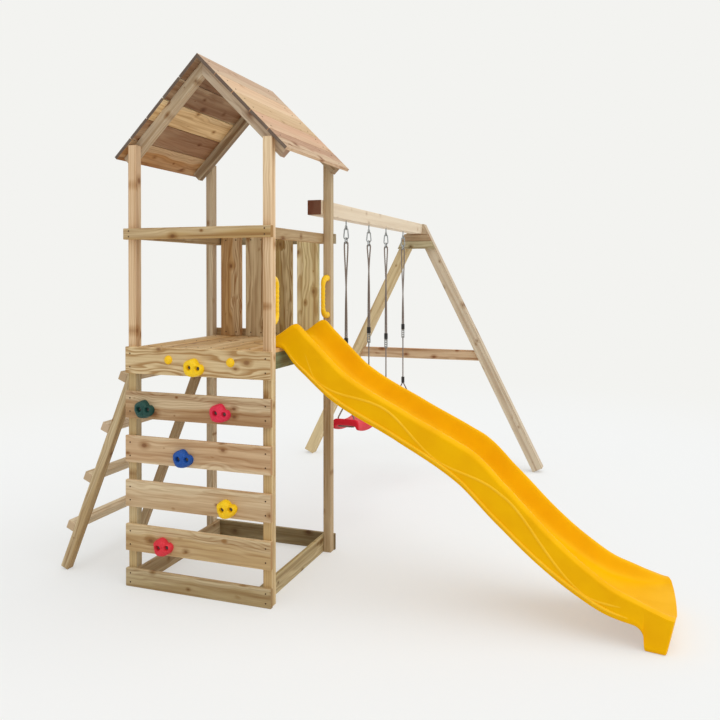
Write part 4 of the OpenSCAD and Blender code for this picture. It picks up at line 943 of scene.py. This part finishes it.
for swing_number, (swing_middle, seat_height, ferrule_tops) in SWINGS.items():
    swing_ropes(swing_number, swing_middle, seat_height, ferrule_tops)
    swing_seat(swing_number, swing_middle, seat_height)
    for fitting in ("hooks", "adjusters"):
        dress(f"swing_{swing_number}_{fitting}", ZINC)
    dress(f"swing_{swing_number}_ferrules", FERRULE_PLASTIC)
dress("eye_bolts", ZINC)


# Screws

SCREW_R = 4 * MM
SCREW_SHARES = (0.25, 0.75)     # of a board's width
DECK_SCREW_SHARES = (0.22, 0.78)
PANEL_SCREW_LOW, PANEL_SCREW_HIGH = 22 * MM, 27 * MM    # from the ends of the back panel's boards
DECK_SCREW_IN = 65 * MM         # from the ends of the deck's boards
RUNG_SCREW_STEP = 10 * MM       # from the middle of a rung
LADDER_LEAN = math.radians(22.386)
Y, Z = Vector((0, 1, 0)), Vector((0, 0, 1))


def screw_tree():
    """Sets a pan-head screw on each point of the source, square to the surface that it faces."""
    tree, given, result = node_group("screw_heads", {"Radius": "Float", "Material": "Material"})
    radius = given.outputs["Radius"]
    shoulder = add_node(tree, "ShaderNodeMath", {0: radius, 1: 0.8}, operation="MULTIPLY")
    tip = add_node(tree, "ShaderNodeMath", {0: radius, 1: 0.25}, operation="MULTIPLY")
    depth = add_node(tree, "ShaderNodeMath", {0: radius, 1: 0.2}, operation="MULTIPLY")
    rim = add_node(tree, "GeometryNodeMeshCone",
                   {"Vertices": 14, "Radius Top": shoulder, "Radius Bottom": radius, "Depth": depth})
    dome = add_node(tree, "GeometryNodeMeshCone",
                    {"Vertices": 14, "Radius Top": tip, "Radius Bottom": shoulder, "Depth": depth})
    lift = add_node(tree, "ShaderNodeCombineXYZ", {2: depth})
    dome = add_node(tree, "GeometryNodeTransform", {"Geometry": dome.outputs["Mesh"], "Translation": lift})
    head = add_node(tree, "GeometryNodeJoinGeometry")
    tree.links.new(rim.outputs["Mesh"], head.inputs[0])
    tree.links.new(dome.outputs[0], head.inputs[0])
    facing = add_node(tree, "GeometryNodeInputNamedAttribute", {"Name": "facing"}, data_type="FLOAT_VECTOR")
    turn = add_node(tree, "FunctionNodeAlignRotationToVector", {"Vector": facing}, axis="Z")
    heads = add_node(tree, "GeometryNodeInstanceOnPoints",
                     {"Points": given.outputs["Geometry"], "Instance": head, "Rotation": turn})
    heads = add_node(tree, "GeometryNodeRealizeInstances", {"Geometry": heads})
    heads = add_node(tree, "GeometryNodeSetMaterial",
                     {"Geometry": heads, "Material": given.outputs["Material"]})
    tree.links.new(heads.outputs[0], result.inputs[0])
    return tree


def box_of(board):
    """Lowest and highest corner of a board's points."""
    return [Vector([pick(point[k] for point in board) for k in range(3)]) for pick in (min, max)]


def screw_places():
    """Place and facing of every screw that shows, from the boxes of the boards that they hold."""
    places = []
    posts = (POST_LOW.x + POST_S / 2, POST_HIGH.x - POST_S / 2)
    walls = [f"climb_board_{k}" for k in range(1, 6)]
    for node in [*walls, "base_front", "guard_rail_front", "base_back", "deck_board_back", "guard_rail_back"]:
        low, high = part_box(node)
        front = high.y < TOWER.y
        for x in posts:
            for share in SCREW_SHARES:
                z = low.z + share * (high.z - low.z)
                places.append((Vector((x, low.y if front else high.y, z)), Y * (-1 if front else 1)))
    for board in boards_of("back_panel_boards"):
        low, high = box_of(board)
        for share in SCREW_SHARES:
            for z in (low.z + PANEL_SCREW_LOW, high.z - PANEL_SCREW_HIGH):
                places.append((Vector((low.x + share * (high.x - low.x), low.y, z)), -Y))
    for board in boards_of("deck_boards"):
        low, high = box_of(board)
        for share in DECK_SCREW_SHARES:
            for y in (low.y + DECK_SCREW_IN, (low.y + high.y) / 2, high.y - DECK_SCREW_IN):
                places.append((Vector((low.x + share * (high.x - low.x), y, high.z)), Z))
    for node, side in (("roof_boards_left", -1), ("roof_boards_right", 1)):
        slope, down = Vector((side, 0, 1)).normalized(), Vector((side, 0, -1)).normalized()
        for board in boards_of(node):
            top = max(p.dot(slope) for p in board)
            start = min(p.dot(down) for p in board if p.dot(slope) > top - MM)
            stop = max(p.dot(down) for p in board)
            for share in SCREW_SHARES:
                for y in (POST_LOW.y + POST_S * 1.5, POST_HIGH.y - POST_S * 1.5):
                    places.append((slope * top + down * (start + share * (stop - start)) + Y * y, slope))
    low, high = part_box("ladder_rungs")
    out = Vector((-math.cos(LADDER_LEAN), 0, math.sin(LADDER_LEAN)))
    up = Vector((math.sin(LADDER_LEAN), 0, math.cos(LADDER_LEAN)))
    for rung in boards_of("ladder_rungs"):
        face = max(p.dot(out) for p in rung)
        middle = sum(p.dot(up) for p in rung) / len(rung)
        for y in (low.y + POST_S / 2, high.y - POST_S / 2):
            for step in (-RUNG_SCREW_STEP, RUNG_SCREW_STEP):
                places.append((out * face + up * (middle + step) + Y * y, out))
    return places


screw_spots = screw_places()
screw_points = bpy.data.meshes.new("screw_points")
screw_points.from_pydata([place for place, _ in screw_spots], [], [])
screw_points.attributes.new("facing", "FLOAT_VECTOR", "POINT").data.foreach_set(
    "vector", [share for _, facing in screw_spots for share in facing])
screws = run_tree(new_piece("screw_points", screw_points), screw_tree(),
                  {"Radius": SCREW_R, "Material": SCREW_STEEL})
fit(new_piece("screw_heads", outward(screws), SCREW_STEEL), "frame", "zinc_steel")


# Floor, light and camera

SHADOW_LIFT = 0.45              # how much paler the floor's shadow looks than it is
FLOOR_NEAR, FLOOR_FAR = 2.6, 7.0    # metres from the middle, between which the floor fades into the backdrop
CAMERA_PLACE = (1961.13, -3557.36, 1548.12)
CAMERA_TILT, CAMERA_TURN = 0.009, 0.343     # downwards and to the left, in radians


def seen_directly(tree):
    """A value that is 1 for what is seen, also in metal or through glass, and 0 for light that falls."""
    path = add_node(tree, "ShaderNodeLightPath").outputs
    seen = add_node(tree, "ShaderNodeMath", {0: path["Is Camera Ray"], 1: path["Is Glossy Ray"]},
                    operation="MAXIMUM")
    return add_node(tree, "ShaderNodeMath", {0: seen, 1: path["Is Transmission Ray"]}, operation="MAXIMUM")


def studio():
    """A pale floor without an edge in sight, and soft light from above and the right."""
    pale = linear("#f3f3f0")
    bpy.ops.mesh.primitive_plane_add(size=120, location=(0, 0, -0.2 * MM))
    floor = bpy.context.object
    floor.name = "studio_floor"
    material, tree, shader = new_material("pale_floor")
    shader.inputs["Base Color"].default_value = linear("#f2f4f5")
    shader.inputs["Roughness"].default_value = 0.9
    shader.inputs["Specular IOR Level"].default_value = 0.1
    place = add_node(tree, "ShaderNodeTexCoord").outputs["Object"]
    reach = add_node(tree, "ShaderNodeVectorMath", {0: place}, operation="LENGTH").outputs["Value"]
    lift = add_node(tree, "ShaderNodeMath", {0: seen_directly(tree), 1: SHADOW_LIFT}, operation="MULTIPLY")
    far = add_node(tree, "ShaderNodeMapRange", {0: reach, 1: FLOOR_NEAR, 2: FLOOR_FAR, 3: lift, 4: 1.0},
                   interpolation_type="SMOOTHSTEP")
    glow = add_node(tree, "ShaderNodeEmission", {"Color": pale, "Strength": 1.0})
    cloth = add_node(tree, "ShaderNodeMixShader", {0: far, 1: shader.outputs[0], 2: glow})
    tree.links.new(cloth.outputs[0], tree.nodes["Material Output"].inputs["Surface"])
    floor.data.materials.append(material)

    world = bpy.data.worlds.new("studio")
    bpy.context.scene.world = world
    world.use_nodes = True
    tree = world.node_tree
    light = tree.nodes["Background"]
    light.inputs["Color"].default_value = (1, 1, 1, 1)
    light.inputs["Strength"].default_value = 0.6
    seen = add_node(tree, "ShaderNodeBackground", {"Color": pale, "Strength": 1.0})
    mix = add_node(tree, "ShaderNodeMixShader",
                   {0: seen_directly(tree), 1: light.outputs[0], 2: seen.outputs[0]})
    tree.links.new(mix.outputs[0], tree.nodes["World Output"].inputs["Surface"])

    lamp = bpy.data.lights.new("softbox", "SUN")
    lamp.energy = 1.55
    lamp.angle = math.radians(80)
    key = bpy.data.objects.new("softbox", lamp)
    key.rotation_euler = Vector((0.45, -0.1, 0.88)).to_track_quat("Z", "Y").to_euler()
    bpy.context.scene.collection.objects.link(key)


def camera():
    """The photograph's view: a level camera to the right of the wall, framed lower than its axis."""
    lens = bpy.data.cameras.new("camera")
    lens.sensor_width = 36
    lens.lens = 37.911
    lens.shift_y = -0.1095
    view = bpy.data.objects.new("camera", lens)
    view.location = at(*CAMERA_PLACE)
    view.rotation_euler = (math.pi / 2 - CAMERA_TILT, 0, CAMERA_TURN)
    bpy.context.scene.collection.objects.link(view)
    bpy.context.scene.camera = view


studio()
camera()
bpy.context.scene.view_settings.view_transform = "Standard"
